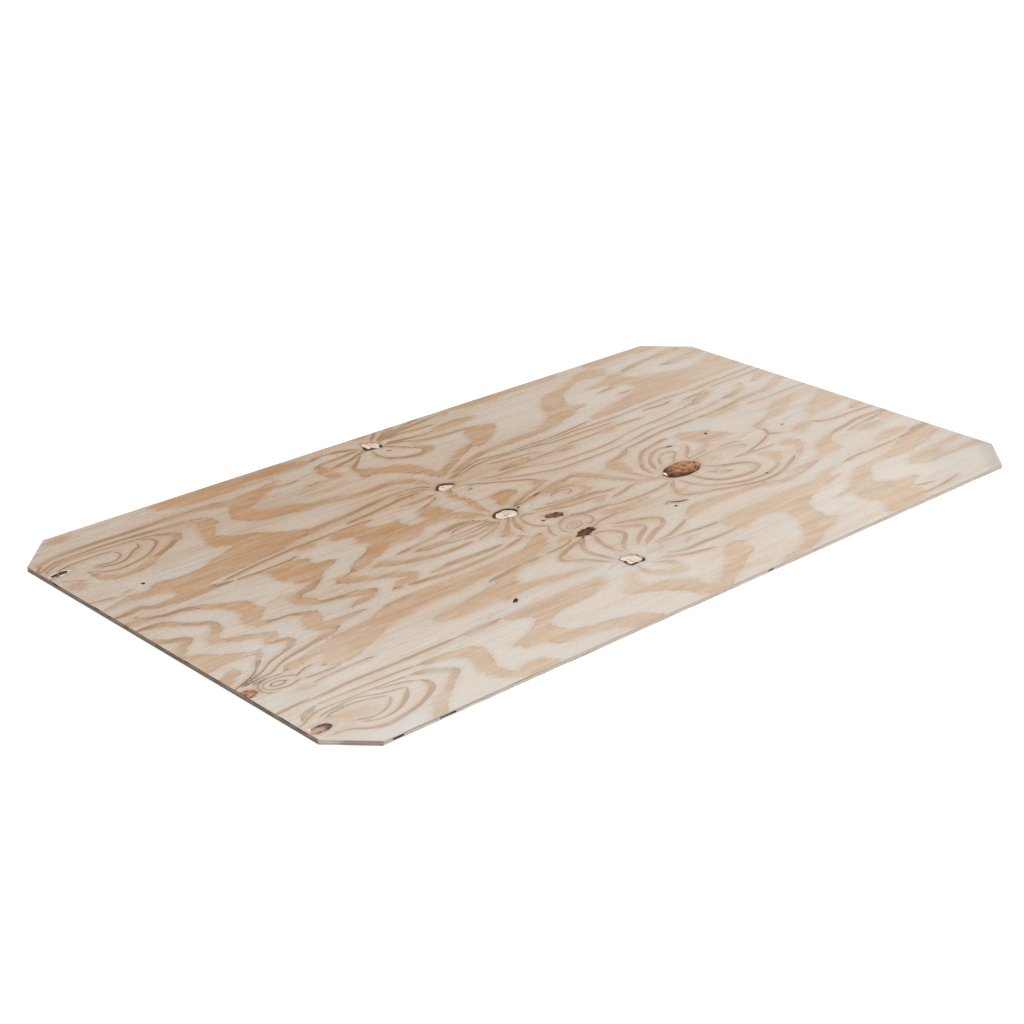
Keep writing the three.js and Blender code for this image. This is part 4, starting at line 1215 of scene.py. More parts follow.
class Pile:
    """The sheet's points and triangles, as they are put together."""

    def __init__(self):
        self.points, self.dark, self.triangles, self.slots = [], [], [], []
        self.count = 0

    def add_points(self, points, dark=0.0):
        """Adds points, with how dark they are, and returns their numbers."""
        self.points.append(points)
        self.dark.append(np.full(len(points), dark))
        self.count += len(points)
        return np.arange(self.count - len(points), self.count)

    def add_triangles(self, slot, *corners):
        self.triangles.append(np.column_stack(corners))
        self.slots.append(np.full(len(self.triangles[-1]), slot))

    def add_band(self, slot, upper, lower, outside=False):
        """Closes the band between two rings, seen from inside them or from outside."""
        next_upper, next_lower = np.roll(upper, -1), np.roll(lower, -1)
        if outside:
            self.add_triangles(slot, upper, lower, next_lower)
            self.add_triangles(slot, upper, next_lower, next_upper)
        else:
            self.add_triangles(slot, upper, next_upper, next_lower)
            self.add_triangles(slot, upper, next_lower, lower)

    def add_rings(self, rings):
        """Adds a hole's rings and the bands between them, and returns their numbers."""
        numbers = []
        for ring, dark in rings:
            numbers.append(self.add_points(ring, dark))
            if len(numbers) > 1:
                self.add_band(HOLE, *numbers[-2:])
        return numbers

    def joined(self):
        parts = (self.points, self.dark, self.triangles, self.slots)
        return [np.concatenate(part) for part in parts]


def close_split(pile, last):
    """The split's floor, between the two sides of its last ring."""
    for step in range(SPLIT_STEPS):
        a, b, c, d = last[step], last[step + 1], last[-step - 1], last[-step]
        if step < SPLIT_STEPS - 1:
            pile.add_triangles(HOLE, [a], [b], [c])
        if step:
            pile.add_triangles(HOLE, [a], [c], [d])


def at_height(points, z):
    return np.column_stack([points, np.full(len(points), z)])


def sheet_shape(walls):
    """The sheet's pile, with the numbers of the walls', the rims' and the face's points."""
    hole_sets = [hole_rings(hole, 60 + 10 * k) for k, hole in enumerate(KNOT_HOLES)]
    split = split_rings()
    rims = [rings[0][0] for rings, _ in hole_sets] + [split[0][0]]
    inner = face_points(rims)
    face = triangulate([walls[:, 0, :2]] + [rim[:, :2] for rim in rims], inner)

    pile = Pile()
    wall = pile.add_points(walls.reshape(-1, 3)).reshape(walls.shape[:2])
    for upper, lower in zip(wall.T, wall.T[1:]):
        pile.add_band(EDGE, upper, lower, outside=True)
    rim_numbers = []
    for rings, middle in hole_sets:
        first, *_, last = pile.add_rings(rings)
        rim_numbers.append(first)
        centre = pile.add_points(middle[None, :])
        pile.add_triangles(HOLE, last, np.roll(last, -1), np.repeat(centre, len(last)))
    first, *_, last = pile.add_rings(split)
    rim_numbers.append(first)
    close_split(pile, last)

    on_edge = np.concatenate([wall[:, 0], *rim_numbers])
    on_face = np.concatenate([on_edge, pile.add_points(at_height(inner, THICKNESS))])
    pile.add_triangles(FACE, *on_face[face].T)

    reach = (HALF_LENGTH - BACK_MARGIN, HALF_WIDTH - BACK_MARGIN)
    gx, gy = np.meshgrid(*(np.arange(-far, far + 1, BACK_STEP) for far in reach))
    below = np.column_stack([gx.ravel(), gy.ravel()])
    below = below[inside_sheet(below, BACK_MARGIN)]
    back = triangulate([walls[:, -1, :2]], below)
    on_back = np.concatenate([wall[:, -1], pile.add_points(at_height(below, 0.0))])
    pile.add_triangles(BACK, *on_back[back][:, ::-1].T)
    return pile, on_edge, on_face


def face_fields(points, on_edge, on_face):
    """Sinks the face's figure, knots and chips into it and returns what its points store."""
    flat = points[on_face, :2]
    figure = figure_at(flat)
    inside, ring, rays, colour, dip = knot_fields(flat)
    relief = np.clip(figure.depth / 2.5, -1, 1) * BAND_RISE
    relief += 0.012 * lattice_noise(flat[:, 0] / 25, flat[:, 1] / 2.5, 3)
    share = np.minimum.reduce([knot_share(chip, flat)[0] for chip in CHIPS])
    chip = CHIP_DEPTH * np.clip((1.05 - share) / 0.3, 0, 1)
    drop = np.minimum(relief - FACE_DROP - dip - chip, 0)
    drop[: len(on_edge)] = 0
    points[on_face, 2] += drop

    def spread(values, elsewhere=(0, 0, 0)):
        rows = np.tile(np.array(elsewhere, float), (len(points), 1))
        rows[on_face] = values
        return rows

    return {
        "band": spread(np.column_stack([figure.sharp, figure.soft, figure.depth]), (FAR, FAR, FAR)),
        "lay": spread(np.column_stack([figure.lean, figure.tone, flow_line(flat)])),
        "knot": spread(np.column_stack([inside, ring, rays]), (FAR_FROM_KNOT, 0, 0)),
        "sheen_and_tone": spread(sheen_and_tone(flat)),
        "chip": spread(np.column_stack([1.25 - share, np.zeros(len(flat)), rim_distance(flat)])),
        "knot_colour": spread(colour, (1, 1, 1, 1)),
    }


def build_sheet(name):
    walls, wall_values = side_walls()
    pile, on_edge, on_face = sheet_shape(walls)
    points, dark, triangles, slots = pile.joined()
    fields = face_fields(points, on_edge, on_face)
    fields["chip"][:, 1] = dark
    wall_rows = np.repeat(wall_values, walls.shape[1], axis=0)
    fields["wall"] = np.zeros((len(points), 3))
    fields["wall"][: len(wall_rows)] = wall_rows

    mesh = bpy.data.meshes.new(name)
    mesh.vertices.add(len(points))
    mesh.vertices.foreach_set("co", (points * MM).astype(np.float32).ravel())
    mesh.loops.add(3 * len(triangles))
    mesh.loops.foreach_set("vertex_index", triangles.astype(np.int32).ravel())
    mesh.polygons.add(len(triangles))
    mesh.polygons.foreach_set("loop_start", np.arange(0, 3 * len(triangles), 3, dtype=np.int32))
    mesh.polygons.foreach_set("material_index", slots.astype(np.int32))
    for key, rows in fields.items():
        kind, part = ("FLOAT_VECTOR", "vector") if rows.shape[1] == 3 else ("FLOAT_COLOR", "color")
        stored = mesh.attributes.new(key, kind, "POINT")
        stored.data.foreach_set(part, rows.astype(np.float32).ravel())
    mesh.update(calc_edges=True)
    mesh.validate()
    mesh.polygons.foreach_set("use_smooth", np.ones(len(triangles), bool))
    mesh.set_sharp_from_angle(angle=math.radians(SHARP_ANGLE))
    lay_out(mesh, points[triangles], slots)
    sheet = bpy.data.objects.new(name, mesh)
    bpy.context.scene.collection.objects.link(sheet)
    print(f"{name}: {len(points)} points, {len(triangles)} triangles")
    return sheet


# Where the face, the back and the edges lie on one square picture, which is 1 wide.
FACE_START, FACE_SIZE = (0.005, 0.42), 0.99
BACK_START, BACK_SIZE = (0.005, 0.005), 0.62
STRIPS_START = (0.64, 0.01)
STRIP_STEP = 0.048
STRIP_LENGTH, STRIP_LONGEST = 0.35, 1100
STRIP_HEIGHT = 0.0035  # for one millimetre


def lay_out(mesh, place, slots):
    """Puts the face, the back and the edges side by side on the picture."""
    corners = place.reshape(-1, 3)[:, :2]
    share = (corners + (HALF_LENGTH, HALF_WIDTH)) / (2 * HALF_LENGTH)
    uv = FACE_START + FACE_SIZE * share
    under = np.repeat(slots, 3) == BACK
    uv[under] = (BACK_START + BACK_SIZE * share)[under]
    edge = slots == EDGE
    uv[np.repeat(edge, 3)] = edge_strips(place[edge])
    mesh.uv_layers.new(name="OFBake").data.foreach_set("uv", uv.astype(np.float32).ravel())


def edge_strips(place):
    """Picture coordinates of side wall triangles: one strip for each of the eight sides."""
    middle = place.mean(1)[:, :2]
    best = np.full(len(middle), np.inf)
    uv = np.zeros((len(place), 3, 2))
    for number, (_, start, end) in enumerate(sheet_sides()):
        length = math.dist(start, end)
        run = (end - start) / length
        rel = middle - start
        along = np.clip(rel @ run, 0, length)
        distance = np.hypot(*(rel - along[:, None] * run).T)
        chosen = distance < best
        best[chosen] = distance[chosen]
        corners = place[chosen][:, :, :2] - start
        inward = np.abs(corners @ np.array([-run[1], run[0]]))
        down = THICKNESS - place[chosen][:, :, 2] + 0.25 * inward
        uv[chosen, :, 0] = STRIPS_START[0] + STRIP_LENGTH * (corners @ run) / STRIP_LONGEST
        uv[chosen, :, 1] = STRIPS_START[1] + STRIP_STEP * number + STRIP_HEIGHT * down
    return uv.reshape(-1, 2)


# ---------------------------------------------------------------- materials


class Nodes:
    """Short names for the nodes of one material."""

    def __init__(self, name, roughness, specular):
        self.material = bpy.data.materials.new(name)
        self.material.use_nodes = True
        self.tree = self.material.node_tree
        self.shader = self.tree.nodes["Principled BSDF"]
        self.shader.inputs["Roughness"].default_value = roughness
        self.shader.inputs["Specular IOR Level"].default_value = specular

    def link(self, value, socket):
        if isinstance(value, (int, float, tuple)):
            socket.default_value = value
        else:
            self.tree.links.new(value, socket)

    def node(self, kind, inputs, output=0, **settings):
        """Adds a node, fills its inputs and returns one of its outputs."""
        node = self.tree.nodes.new(kind)
        for key, value in settings.items():
            setattr(node, key, value)
        for key, value in inputs.items():
            self.link(value, node.inputs[key])
        return node.outputs[output]

    def math(self, operation, *values):
        return self.node("ShaderNodeMath", dict(enumerate(values)), operation=operation)

    def fold(self, operation, first, *others):
        for value in others:
            first = self.math(operation, first, value)
        return first

    def add(self, *values):
        return self.fold("ADD", *values)

    def times(self, *values):
        return self.fold("MULTIPLY", *values)

    def affine(self, value, factor, offset):
        return self.math("MULTIPLY_ADD", value, factor, offset)

    def rest(self, value):
        return self.affine(value, -1.0, 1.0)

    def swing(self, value, size=1.0):
        """A value from 0 to 1, as one between minus and plus a size."""
        return self.affine(value, 2 * size, -size)

    def step(self, value, low, high, to_low=0.0, to_high=1.0):
        """Smooth step of a value from low to high."""
        inputs = {"Value": value, "From Min": low, "From Max": high}
        inputs |= {"To Min": to_low, "To Max": to_high}
        return self.node("ShaderNodeMapRange", inputs, interpolation_type="SMOOTHSTEP")

    def hill(self, value, *edges):
        """Steps up between the first two edges and down between the other two."""
        return self.times(self.step(value, *edges[:2]), self.step(value, *edges[:1:-1]))

    def mix(self, share, a, b, blend="MIX"):
        """A mix of colours, which may be given as they look, from 0 to 255."""
        a, b = (linear(colour) if isinstance(colour, tuple) else colour for colour in (a, b))
        inputs = {0: share, 6: a, 7: b}
        return self.node("ShaderNodeMix", inputs, 2, data_type="RGBA", blend_type=blend)

    def vector(self, x, y, z):
        return self.node("ShaderNodeCombineXYZ", {0: x, 1: y, 2: z})

    def split(self, vector):
        return self.node("ShaderNodeSeparateXYZ", {0: vector}).node.outputs[:]

    def stored(self, name):
        """The three numbers that the mesh's points store under a name."""
        return self.split(self.node("ShaderNodeAttribute", {}, "Vector", attribute_name=name))

    def millimetres(self):
        """The place on the sheet in millimetres."""
        inputs = {0: self.node("ShaderNodeTexCoord", {}, "Object"), "Scale": 1 / MM}
        return self.split(self.node("ShaderNodeVectorMath", inputs, operation="SCALE"))

    def noise(self, vector, detail=2.0, roughness=0.5, scale=1.0):
        inputs = {"Vector": vector, "Scale": scale, "Detail": detail, "Roughness": roughness}
        return self.node("ShaderNodeTexNoise", inputs, "Fac")

    def streaks(self, u, v, u_scale, v_scale, place, detail=2.0, roughness=0.5):
        """Noise with a scale of its own along u, the grain, and v, across it."""
        vector = self.vector(self.times(u, u_scale), self.times(v, v_scale), place)
        return self.noise(vector, detail, roughness)

    def bump(self, height, distance, strength):
        inputs = {"Strength": strength, "Distance": distance, "Height": height}
        self.link(self.node("ShaderNodeBump", inputs), self.shader.inputs["Normal"])

    def finish(self, colour, roughness=None):
        self.link(colour, self.shader.inputs["Base Color"])
        if roughness is not None:
            self.link(roughness, self.shader.inputs["Roughness"])
        return self.material


def fibres(n, x, flow):
    """Streaks along the grain: fine and coarse, both from 0 to 1 about a half."""
    fine = n.streaks(x, flow, 0.03, 1.5, 3.7, 3.0, 0.6)
    return fine, n.streaks(x, flow, 0.007, 0.22, 9.1, 3.0, 0.55)


def ragged_band(n, x, y, flow, lean, wide, sharp, soft, depth):
    """Makes a band's edges ragged, most of all where they cross the grain. Returns how far
    inside them a place is, and the mask of the band."""
    teeth = n.swing(n.streaks(x, flow, 0.035, 0.22, 21.0, 3.0, 0.62))
    wisps = n.swing(n.streaks(x, flow, 0.11, 0.8, 27.0, 2.0, 0.6))
    wander = n.swing(n.streaks(x, y, 0.02, 0.06, 5.0))
    crossing = n.step(lean, 0.05, 0.9)
    rag = n.times(teeth, n.affine(crossing, 8.0, 2.0))
    rag = n.add(rag, n.times(wisps, n.affine(crossing, 2.6, 1.0)))
    rag = n.times(rag, n.affine(wide, 0.93, 0.07))
    washed = n.affine(wisps, n.affine(wide, 3.0, 0.1), n.times(rag, 1.3))
    sharp_shift = n.add(rag, n.times(wander, n.affine(wide, 1.2, 0.4)))
    soft_shift = n.add(washed, n.times(wander, n.affine(wide, 3.0, 0.4)))
    sharp, soft = n.add(sharp, sharp_shift), n.add(soft, soft_shift)
    near_sharp = n.step(sharp, n.affine(wide, -0.9, -0.4), n.affine(wide, 0.2, 1.0))
    near_soft = n.step(soft, n.affine(wide, -1.8, -0.4), n.affine(wide, 3.4, 1.0))
    shift = n.fold("MAXIMUM", sharp_shift, soft_shift, 0.0)
    depth = n.affine(shift, 0.6, depth)
    gate = n.step(depth, n.affine(wide, -1.0, -1.2), n.affine(wide, -0.6, -0.6))
    return sharp, soft, depth, n.times(near_sharp, near_soft, gate)


def early_wood(n, x, y, flow, depth, kept, deeper, faint):
    """Pale wood, cooler and pinker in places, with hairlines and faint rings of its own."""
    cloud = n.streaks(x, y, 0.004, 0.011, 1.0)
    tint = n.streaks(x, flow, 0.007, 0.022, 81.0)
    early = n.add(n.step(cloud, 0.4, 0.68, -0.05, 0.28), n.step(faint, 0.46, 0.68, -0.05, 0.4))
    hair = n.streaks(x, flow, 0.0035, 0.3, 61.0)
    hair = n.step(n.math("ABSOLUTE", n.add(hair, -0.5)), 0.03, 0.0)
    where = n.step(n.streaks(x, flow, 0.006, 0.03, 70.0, 1.0), 0.42, 0.66)
    early = n.add(n.times(n.add(early, n.times(hair, where, 0.9)), kept), deeper)
    pale = n.mix(n.step(tint, 0.46, 0.36, 0.0, 0.9), PALE, PALE_COOL)
    pale = n.mix(n.step(tint, 0.54, 0.64, 0.0, 0.9), pale, PALE_PINK)
    pale = n.mix(n.step(depth, -7.0, -1.5, 0.0, 0.25), pale, PALE_DEEP)
    colour = n.mix(early, pale, PALE_DEEP)
    rings = n.math("FRACT", n.times(n.streaks(x, flow, 0.0035, 0.05, 133.0, 2.0, 0.45), 8.0))
    shown = n.step(n.streaks(x, flow, 0.003, 0.012, 140.0, 1.0), 0.45, 0.65, 0.05, 0.6)
    rings = n.hill(rings, 0.52, 0.94, 0.96, 1.0)
    return n.mix(n.times(rings, n.times(shown, kept)), colour, PALE_RING)


def late_wood(n, flow, x, coarse, faint, sharp, tone, wide, fainter):
    """The colour of a band, which is golden where it's wide and brown where it's thin, and
    how strongly it shows."""
    late = n.step(n.add(n.times(coarse, 0.65), n.times(faint, 0.35)), 0.4, 0.64)
    band = n.mix(late, BAND, BAND_DEEP)
    warm = n.streaks(x, flow, 0.01, 0.04, 15.0)
    band = n.mix(n.step(n.affine(fainter, -0.16, warm), 0.48, 0.66, 0.0, 0.6), band, BAND_RED)
    band = n.mix(n.affine(wide, 0.8, 0.2), LINE, band)
    thin = n.step(tone, 0.415, 0.385)
    band = n.mix(thin, band, THIN_LINE)
    patchy = n.step(n.add(n.times(warm, 0.5), n.times(coarse, 0.5)), 0.4, 0.58, 0.15, 0.8)
    band = n.mix(n.times(n.step(sharp, 3.4, 0.6), patchy, wide), band, EDGE_LINE)
    body = n.step(n.streaks(x, flow, 0.018, 0.08, 95.0, 3.0, 0.6), 0.38, 0.58, 0.6, 1.0)
    thread = n.step(n.streaks(x, flow, 0.014, 0.03, 38.0), 0.36, 0.56, 0.45, 0.95)
    thread = n.math("MAXIMUM", thread, n.times(thin, 0.85))
    return band, n.affine(wide, n.math("SUBTRACT", body, thread), thread)


def knots(n, colour, x, y, inside, ring, rays, from_hole, chip):
    """Closed knots with bark round them, the dark rims of the open ones, and two chips."""
    knot_colour = n.node("ShaderNodeAttribute", {}, "Color", attribute_name="knot_colour")
    radial = n.streaks(rays, inside, 5.0, 0.1, 7.0, 3.0, 0.6)
    rings = n.noise(n.vector(n.times(inside, 0.5), rays, 4.0))
    grime = n.streaks(x, y, 0.1, 0.17, 66.0, 4.0, 0.65)
    body = n.mix(n.step(grime, 0.44, 0.6), knot_colour, (158, 142, 138), "MULTIPLY")
    body = n.mix(n.step(rings, 0.48, 0.62, 0.0, 0.4), body, (206, 152, 104))
    ragged = n.add(inside, n.swing(radial, 1.5))
    shadow = n.add(n.times(n.step(ragged, 18.0, 3.0), 0.7), n.times(n.step(ragged, 5.0, 1.0), 0.2))
    body = n.mix(n.times(shadow, ring, n.step(grime, 0.3, 0.55, 0.5, 1.0)), body, BARK)
    body = n.mix(n.times(n.step(ragged, 3.6, 0.8), n.step(ring, 0.2, 0.8)), body, BARK)
    ragged = n.add(inside, n.swing(n.noise(n.vector(x, y, 0.0), scale=0.6), 0.8))
    colour = n.mix(n.step(ragged, -0.45, 0.35), colour, body)
    dark_rim = n.step(n.add(from_hole, n.swing(radial, 0.8)), -1.3, 0.0)
    colour = n.mix(n.times(dark_rim, 0.55), colour, BARK_BROWN)
    flake = n.mix(n.step(n.streaks(x, y, 0.5, 0.25, 12.0), 0.42, 0.6), CORE_WOOD, CORE_SHADE)
    return n.mix(n.step(chip, 0.2, 0.4), colour, flake), radial


def face_material():
    n = Nodes("pine_face", roughness=0.66, specular=0.2)
    x, y, _ = n.millimetres()
    sharp, soft, depth = n.stored("band")
    lean, tone, flow = n.stored("lay")
    inside, ring, rays = n.stored("knot")
    chip, _, from_hole = n.stored("chip")
    sheen, deeper, fainter = n.stored("sheen_and_tone")
    fine, coarse = fibres(n, x, flow)
    faint = n.streaks(x, flow, 0.004, 0.07, 33.0, 3.0, 0.6)
    wide = n.step(tone, 0.5, 0.76)
    narrow = n.rest(wide)
    # Early wood and fibres fade where the painted sheen lies.
    kept = n.affine(sheen, -0.4, 1.0)

    sharp, soft, depth, mask = ragged_band(n, x, y, flow, lean, wide, sharp, soft, depth)
    colour = early_wood(n, x, y, flow, depth, kept, deeper, faint)
    band, strength = late_wood(n, flow, x, coarse, faint, sharp, tone, wide, fainter)
    # Bands also fade under the painted sheen and in the fainter patches.
    strength = n.times(strength, n.affine(sheen, -0.25, 1.0), n.rest(fainter))
    fringe = n.times(n.step(soft, -8.0, 0.5), n.step(sharp, -0.5, 0.8), n.times(narrow, strength))
    colour = n.mix(n.times(fringe, 0.68), colour, BAND)
    colour = n.mix(n.times(mask, strength), colour, band)

    # Fibres, a mottle, and wood that is darker and warmer close round a knot or a hole.
    mottle = n.streaks(x, flow, 0.16, 0.5, 44.0, 3.0, 0.6)
    pores = n.streaks(x, flow, 0.3, 2.2, 51.0, 2.0, 0.7)
    shade = n.add(n.step(fine, 0.36, 0.68, -0.1, 0.38), n.step(mottle, 0.35, 0.68, -0.1, 0.54))
    shade = n.times(n.add(shade, n.step(pores, 0.38, 0.7, -0.1, 0.4)), kept)
    colour = n.mix(shade, colour, (233, 227, 220), "MULTIPLY")
    halo = n.step(n.math("MAXIMUM", n.add(inside, -1.0), from_hole), -9.0, 0.5)
    colour = n.mix(n.times(halo, 0.33), colour, (196, 160, 128), "MULTIPLY")

    # Painted sheen: a pale, cool reflection added over the wood, strongest toward the near edge and
    # the two ends, and weaker on narrow lines.
    sheen = n.times(sheen, n.affine(n.times(mask, narrow), -0.35, 1.0))
    veil = n.mix(n.times(mask, wide), SHEEN, SHEEN_BAND)
    colour = n.mix(sheen, colour, veil, "ADD")
    # The near right corner is a little greyer.
    corner = n.math("SUBTRACT", x, y)
    corner = n.add(n.step(corner, 714.0, 780.0, 0.0, 0.36), n.step(corner, 843.0, 874.0, 0.0, 0.6))
    colour = n.mix(corner, colour, (228, 229, 232), "MULTIPLY")

    colour, radial = knots(n, colour, x, y, inside, ring, rays, from_hole, chip)
    on_knot = n.times(n.step(inside, -0.5, 1.0), n.times(radial, 1.2))
    n.bump(n.add(n.times(fine, 0.7), n.times(mask, 0.25), on_knot), 0.00022, 0.55)
    return n.finish(colour, n.affine(mask, -0.06, 0.66))


def hole_material():
    n = Nodes("knot_hole", roughness=0.85, specular=0.1)
    x, y, z = n.millimetres()
    _, dark, _ = n.stored("chip")
    grain = n.streaks(x, y, 0.6, 0.05, 0.0, 3.0)
    floor = n.mix(n.step(grain, 0.38, 0.62), (240, 226, 212), (200, 178, 160))
    wall = n.noise(n.vector(x, y, n.times(z, 2.0)), 3.0, scale=0.5)
    wall = n.mix(n.step(wall, 0.35, 0.65), BARK, BARK_BROWN)
    rough = n.noise(n.vector(x, y, z), 3.0, scale=0.9)
    share = n.step(n.add(dark, n.swing(rough, 0.4)), 0.3, 0.55)
    floor = n.mix(n.times(n.step(z, 4.3, 5.7), 0.6), floor, (168, 130, 100))
    # The third hole's floor shows the pith crack of its knot.
    crack = n.add(n.math("ABSOLUTE", n.add(y, -1.2)), n.swing(rough, 0.8))
    along = n.math("ABSOLUTE", n.add(x, 62.0))
    crack = n.times(n.step(crack, 1.3, 0.5), n.step(along, 6.5, 3.5))
    floor = n.mix(n.times(crack, 0.8), floor, BARK_BROWN)
    n.bump(grain, 0.0003, 0.6)
    return n.finish(n.mix(share, floor, wall))


def edge_material():
    """The sawn edges: end grain and long grain of three veneers between two glue lines."""
    n = Nodes("ply_edge", roughness=0.78, specular=0.2)
    x, y, z = n.millimetres()
    around, kind, gap = n.stored("wall")
    height = n.add(z, n.swing(n.noise(n.vector(n.times(around, 0.03), 0.0, 2.0)), 0.25))
    core = n.hill(height, 1.68, 1.86, 4.14, 4.32)
    # The outer veneers show long grain at the long edges and end grain at the others. The ends
    # are also painted darker: partly the end grain's own colour, partly painted shade on the
    # left end, which is turned from the light.
    ends = n.step(kind, 0.2, 0.8)
    longs = n.rest(ends)
    long_grain = n.streaks(around, z, 0.03, 2.2, 5.0, 3.0, 0.6)
    end_grain = n.streaks(around, z, 0.9, 1.3, 8.0, 3.0, 0.65)
    outer_grain = n.add(n.times(long_grain, longs), n.times(end_grain, ends))
    core_grain = n.add(n.times(end_grain, longs), n.times(long_grain, ends))
    outer_light = n.mix(ends, (238, 230, 222), (186, 170, 155))
    outer_dark = n.mix(ends, (212, 202, 192), (140, 125, 112))
    core_light = n.mix(ends, (214, 202, 190), (206, 188, 172))
    core_dark = n.mix(ends, (172, 159, 147), (158, 141, 126))
    outer = n.mix(n.step(outer_grain, 0.36, 0.66), outer_light, outer_dark)
    colour = n.mix(core, outer, n.mix(n.step(core_grain, 0.36, 0.66), core_light, core_dark))
    cut = n.step(kind, 1.2, 1.8)
    # Painted shade: the face veneer of the long edges is darkened to hold back the highlight on its
    # rounded arris.
    colour = n.mix(n.times(n.step(height, 4.1, 4.4), longs), colour, (200, 195, 190), "MULTIPLY")
    sawn = n.mix(n.step(x, -578.0, -590.0), (176, 154, 144), (226, 210, 198))
    colour = n.mix(n.times(cut, 0.7), colour, sawn)
    glue = n.add(n.hill(height, 1.5, 1.68, 1.9, 2.08), n.hill(height, 3.94, 4.12, 4.32, 4.5))
    patchy = n.noise(n.vector(n.times(around, 0.06), z, 11.0))
    colour = n.mix(n.times(glue, n.step(patchy, 0.3, 0.6, 0.4, 0.85)), colour, (96, 74, 58))
    stain = n.streaks(around, z, 0.012, 0.25, 17.0, 3.0)
    colour = n.mix(n.step(stain, 0.56, 0.72, 0.0, 0.45), colour, (120, 98, 80))
    # Painted shade: the core inside each gap is darkened almost to black.
    colour = n.mix(n.times(n.step(gap, 0.5, 3.0), core), colour, (58, 42, 32))
    # The left edge is darkened as painted shade, since it is turned from the light, and has darker
    # streaks along its upper glue line.
    left = n.times(n.step(x, -590.0, -596.0), n.rest(cut))
    dark_streaks = n.step(n.streaks(around, z, 0.045, 0.35, 23.0, 3.0), 0.44, 0.58)
    dark_streaks = n.times(dark_streaks, n.hill(height, 2.4, 3.6, 4.6, 5.2))
    colour = n.mix(n.times(left, 0.5), colour, (222, 220, 218), "MULTIPLY")
    colour = n.mix(n.times(left, n.times(dark_streaks, 0.8)), colour, (66, 54, 46))
    # Painted shade darkens the near edge's upper glue line beside its gaps.
    glue_shade = n.times(n.hill(height, 3.6, 3.9, 4.5, 4.8), n.step(y, -330.0, -338.0))
    glue_shade = n.times(glue_shade, n.hill(x, -548.0, -538.0, -440.0, -340.0))
    colour = n.mix(n.times(glue_shade, n.step(patchy, 0.3, 0.6, 0.35, 0.8)), colour, (78, 60, 48))
    n.bump(n.add(outer_grain, core_grain), 0.0003, 0.6)
    return n.finish(colour)


BACK_KNOTS = ((-310, 120, 24, 13), (262, -64, 20, 12))  # x, y, half length, half width


def back_material():
    """The back veneer: bands of the same kind, worked out from a noise, and two knots."""
    n = Nodes("pine_back", roughness=0.66, specular=0.3)
    x, y, _ = n.millimetres()
    hill = n.streaks(x, y, 0.0021, 0.0062, 31.0, 2.0, 0.42)
    ripple = n.streaks(x, y, 0.012, 0.09, 12.0, 3.0)
    ring = n.math("FRACT", n.add(n.times(hill, 13.0), n.times(ripple, 0.35)))
    fine, coarse = fibres(n, x, y)
    band = n.hill(ring, 0.22, 0.8, 0.955, 1.0)
    pale = n.mix(n.step(coarse, 0.4, 0.7), (216, 203, 189), (206, 187, 168))
    wood = n.mix(n.step(ring, 0.6, 0.95), BAND, BAND_DEEP)
    colour = n.mix(n.times(band, 0.85), pale, wood)
    shade = n.affine(fine, 0.3, 0.85)
    colour = n.mix(1.0, colour, n.vector(shade, shade, shade), "MULTIPLY")
    for kx, ky, along, across in BACK_KNOTS:
        u, v = n.times(n.add(x, -kx), 1 / along), n.times(n.add(y, -ky), 1 / across)
        share = n.math("SQRT", n.add(n.times(u, u), n.times(v, v)))
        share = n.add(share, n.swing(ripple, 0.25))
        colour = n.mix(n.step(share, 1.9, 1.0, 0.0, 0.5), colour, BAND_DEEP)
        colour = n.mix(n.step(share, 1.08, 0.98), colour, KNOT_COLOURS["sound"])
        colour = n.mix(n.hill(share, 0.82, 0.94, 1.0, 1.1), colour, BARK_BROWN)
    n.bump(fine, 0.00022, 0.5)
    return n.finish(colour)


# ---------------------------------------------------------------- camera, floor and light

# The photograph's view, fitted to the sheet's eight corners.
CAMERA_PLACE = (-1.73039, -1.79699, 1.08694)
CAMERA_RIGHT = Vector((0.730825, -0.682565, -0.000801))
CAMERA_UP = Vector((0.275281, 0.293670, 0.915411))
CAMERA_LENS = 72.84
SENSOR_WIDTH = 36.0
CLIP_START = 0.05

FLOOR_HALF = 20.0
FLOOR_GAP = 0.0002  # between the floor and the sheet
FLOOR_COLOUR = (0.8, 0.8, 0.8, 1.0)
FLOOR_LIFT = 0.56  # how much lighter the floor shows than it is lit

WORLD_LEVEL = 0.56  # how strongly the world lights the scene, beside 1 where it shows
LAMP_WATTS = 150.0
LAMP_SIZE = (2.6, 2.0)
LAMP_PLACE = (0.85, -2.9, 3.3)


def in_scene(name, data):
    item = bpy.data.objects.new(name, data)
    bpy.context.scene.collection.objects.link(item)
    return item


def add_camera():
    data = bpy.data.cameras.new("camera")
    data.lens, data.sensor_width, data.clip_start = CAMERA_LENS, SENSOR_WIDTH, CLIP_START
    camera = in_scene("camera", data)
    back = CAMERA_RIGHT.cross(CAMERA_UP)
    camera.matrix_world = Matrix((*zip(CAMERA_RIGHT, CAMERA_UP, back, CAMERA_PLACE), (0, 0, 0, 1)))
    bpy.context.scene.camera = camera


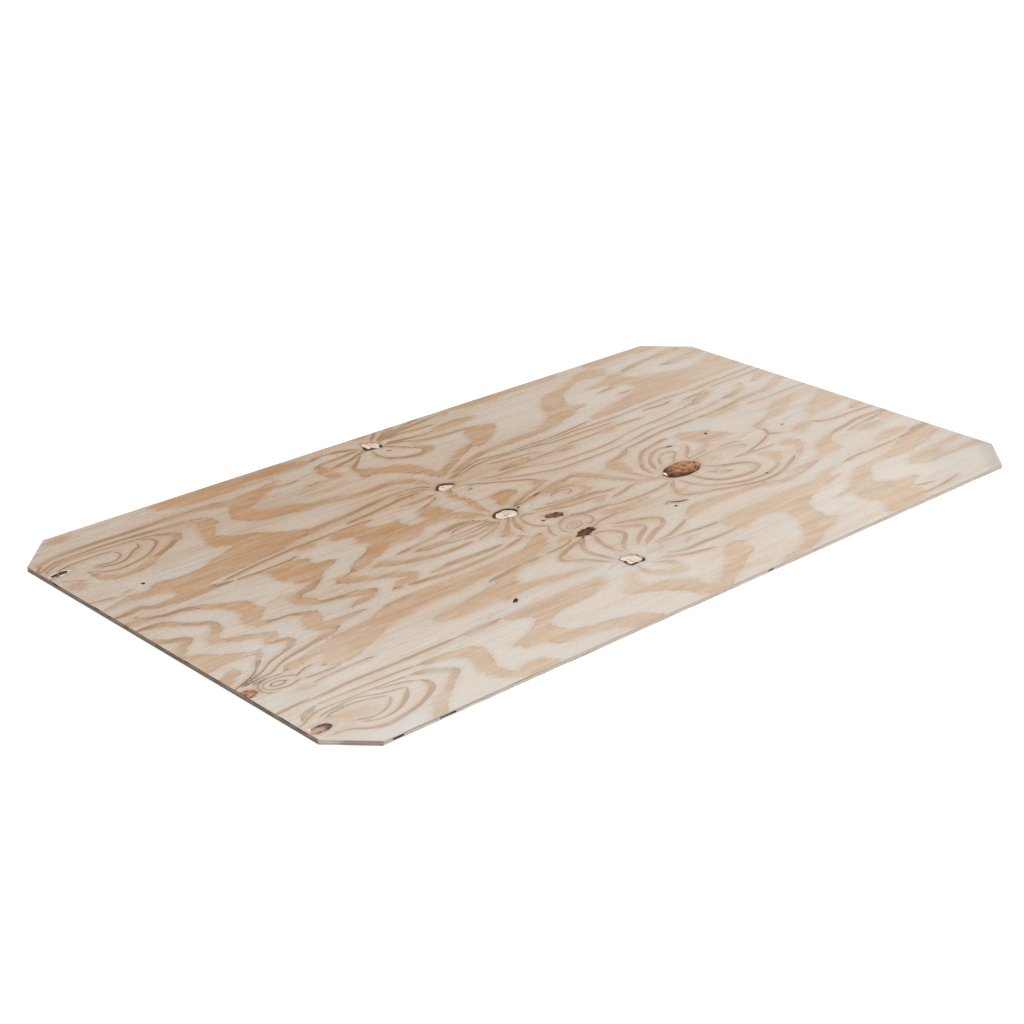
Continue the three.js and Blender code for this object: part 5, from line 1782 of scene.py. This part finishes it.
def add_floor():
    """A floor that shows white where nothing shades it, without lighting the sheet."""
    n = Nodes("floor", roughness=0.9, specular=0.0)
    seen = n.node("ShaderNodeLightPath", {}, "Is Camera Ray")
    glow = n.node("ShaderNodeEmission", {"Strength": n.times(seen, FLOOR_LIFT)})
    both = n.node("ShaderNodeAddShader", {0: n.shader.outputs[0], 1: glow})
    n.link(both, n.tree.nodes["Material Output"].inputs["Surface"])
    grid = bmesh.new()
    bmesh.ops.create_grid(grid, x_segments=8, y_segments=8, size=FLOOR_HALF)
    mesh = bpy.data.meshes.new("floor")
    grid.to_mesh(mesh)
    grid.free()
    mesh.materials.append(n.finish(FLOOR_COLOUR))
    floor = in_scene("floor", mesh)
    floor.location.z = -FLOOR_GAP


def add_light():
    """A white world, and a lamp above the near edge."""
    world = bpy.data.worlds.new("studio")
    world.use_nodes = True
    tree = world.node_tree
    background = tree.nodes["Background"]
    path = tree.nodes.new("ShaderNodeLightPath")
    level = tree.nodes.new("ShaderNodeMix")
    level.data_type = "FLOAT"
    level.inputs[2].default_value = WORLD_LEVEL
    level.inputs[3].default_value = 1.0
    tree.links.new(path.outputs["Is Camera Ray"], level.inputs[0])
    tree.links.new(level.outputs[0], background.inputs["Strength"])
    background.inputs["Color"].default_value = (1, 1, 1, 1)
    bpy.context.scene.world = world
    lamp = bpy.data.lights.new("softbox", "AREA")
    lamp.shape = "RECTANGLE"
    lamp.size, lamp.size_y = LAMP_SIZE
    lamp.energy = LAMP_WATTS
    softbox = in_scene("softbox", lamp)
    softbox.location = LAMP_PLACE
    softbox.rotation_euler = (-softbox.location).to_track_quat("-Z", "Y").to_euler()


# ---------------------------------------------------------------- scene

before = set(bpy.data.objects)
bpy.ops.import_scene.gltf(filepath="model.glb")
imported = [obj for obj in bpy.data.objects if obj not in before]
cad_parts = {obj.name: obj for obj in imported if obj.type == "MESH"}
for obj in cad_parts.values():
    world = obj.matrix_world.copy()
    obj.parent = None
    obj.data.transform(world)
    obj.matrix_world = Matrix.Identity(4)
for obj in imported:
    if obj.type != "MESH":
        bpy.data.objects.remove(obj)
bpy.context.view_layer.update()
bpy.context.scene.view_settings.view_transform = "Standard"
add_camera()
add_floor()
add_light()

sheet = build_sheet("plywood")
for material in (face_material(), hole_material(), edge_material(), back_material()):
    sheet.data.materials.append(material)
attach(sheet, "root")
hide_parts("plywood_sheet")
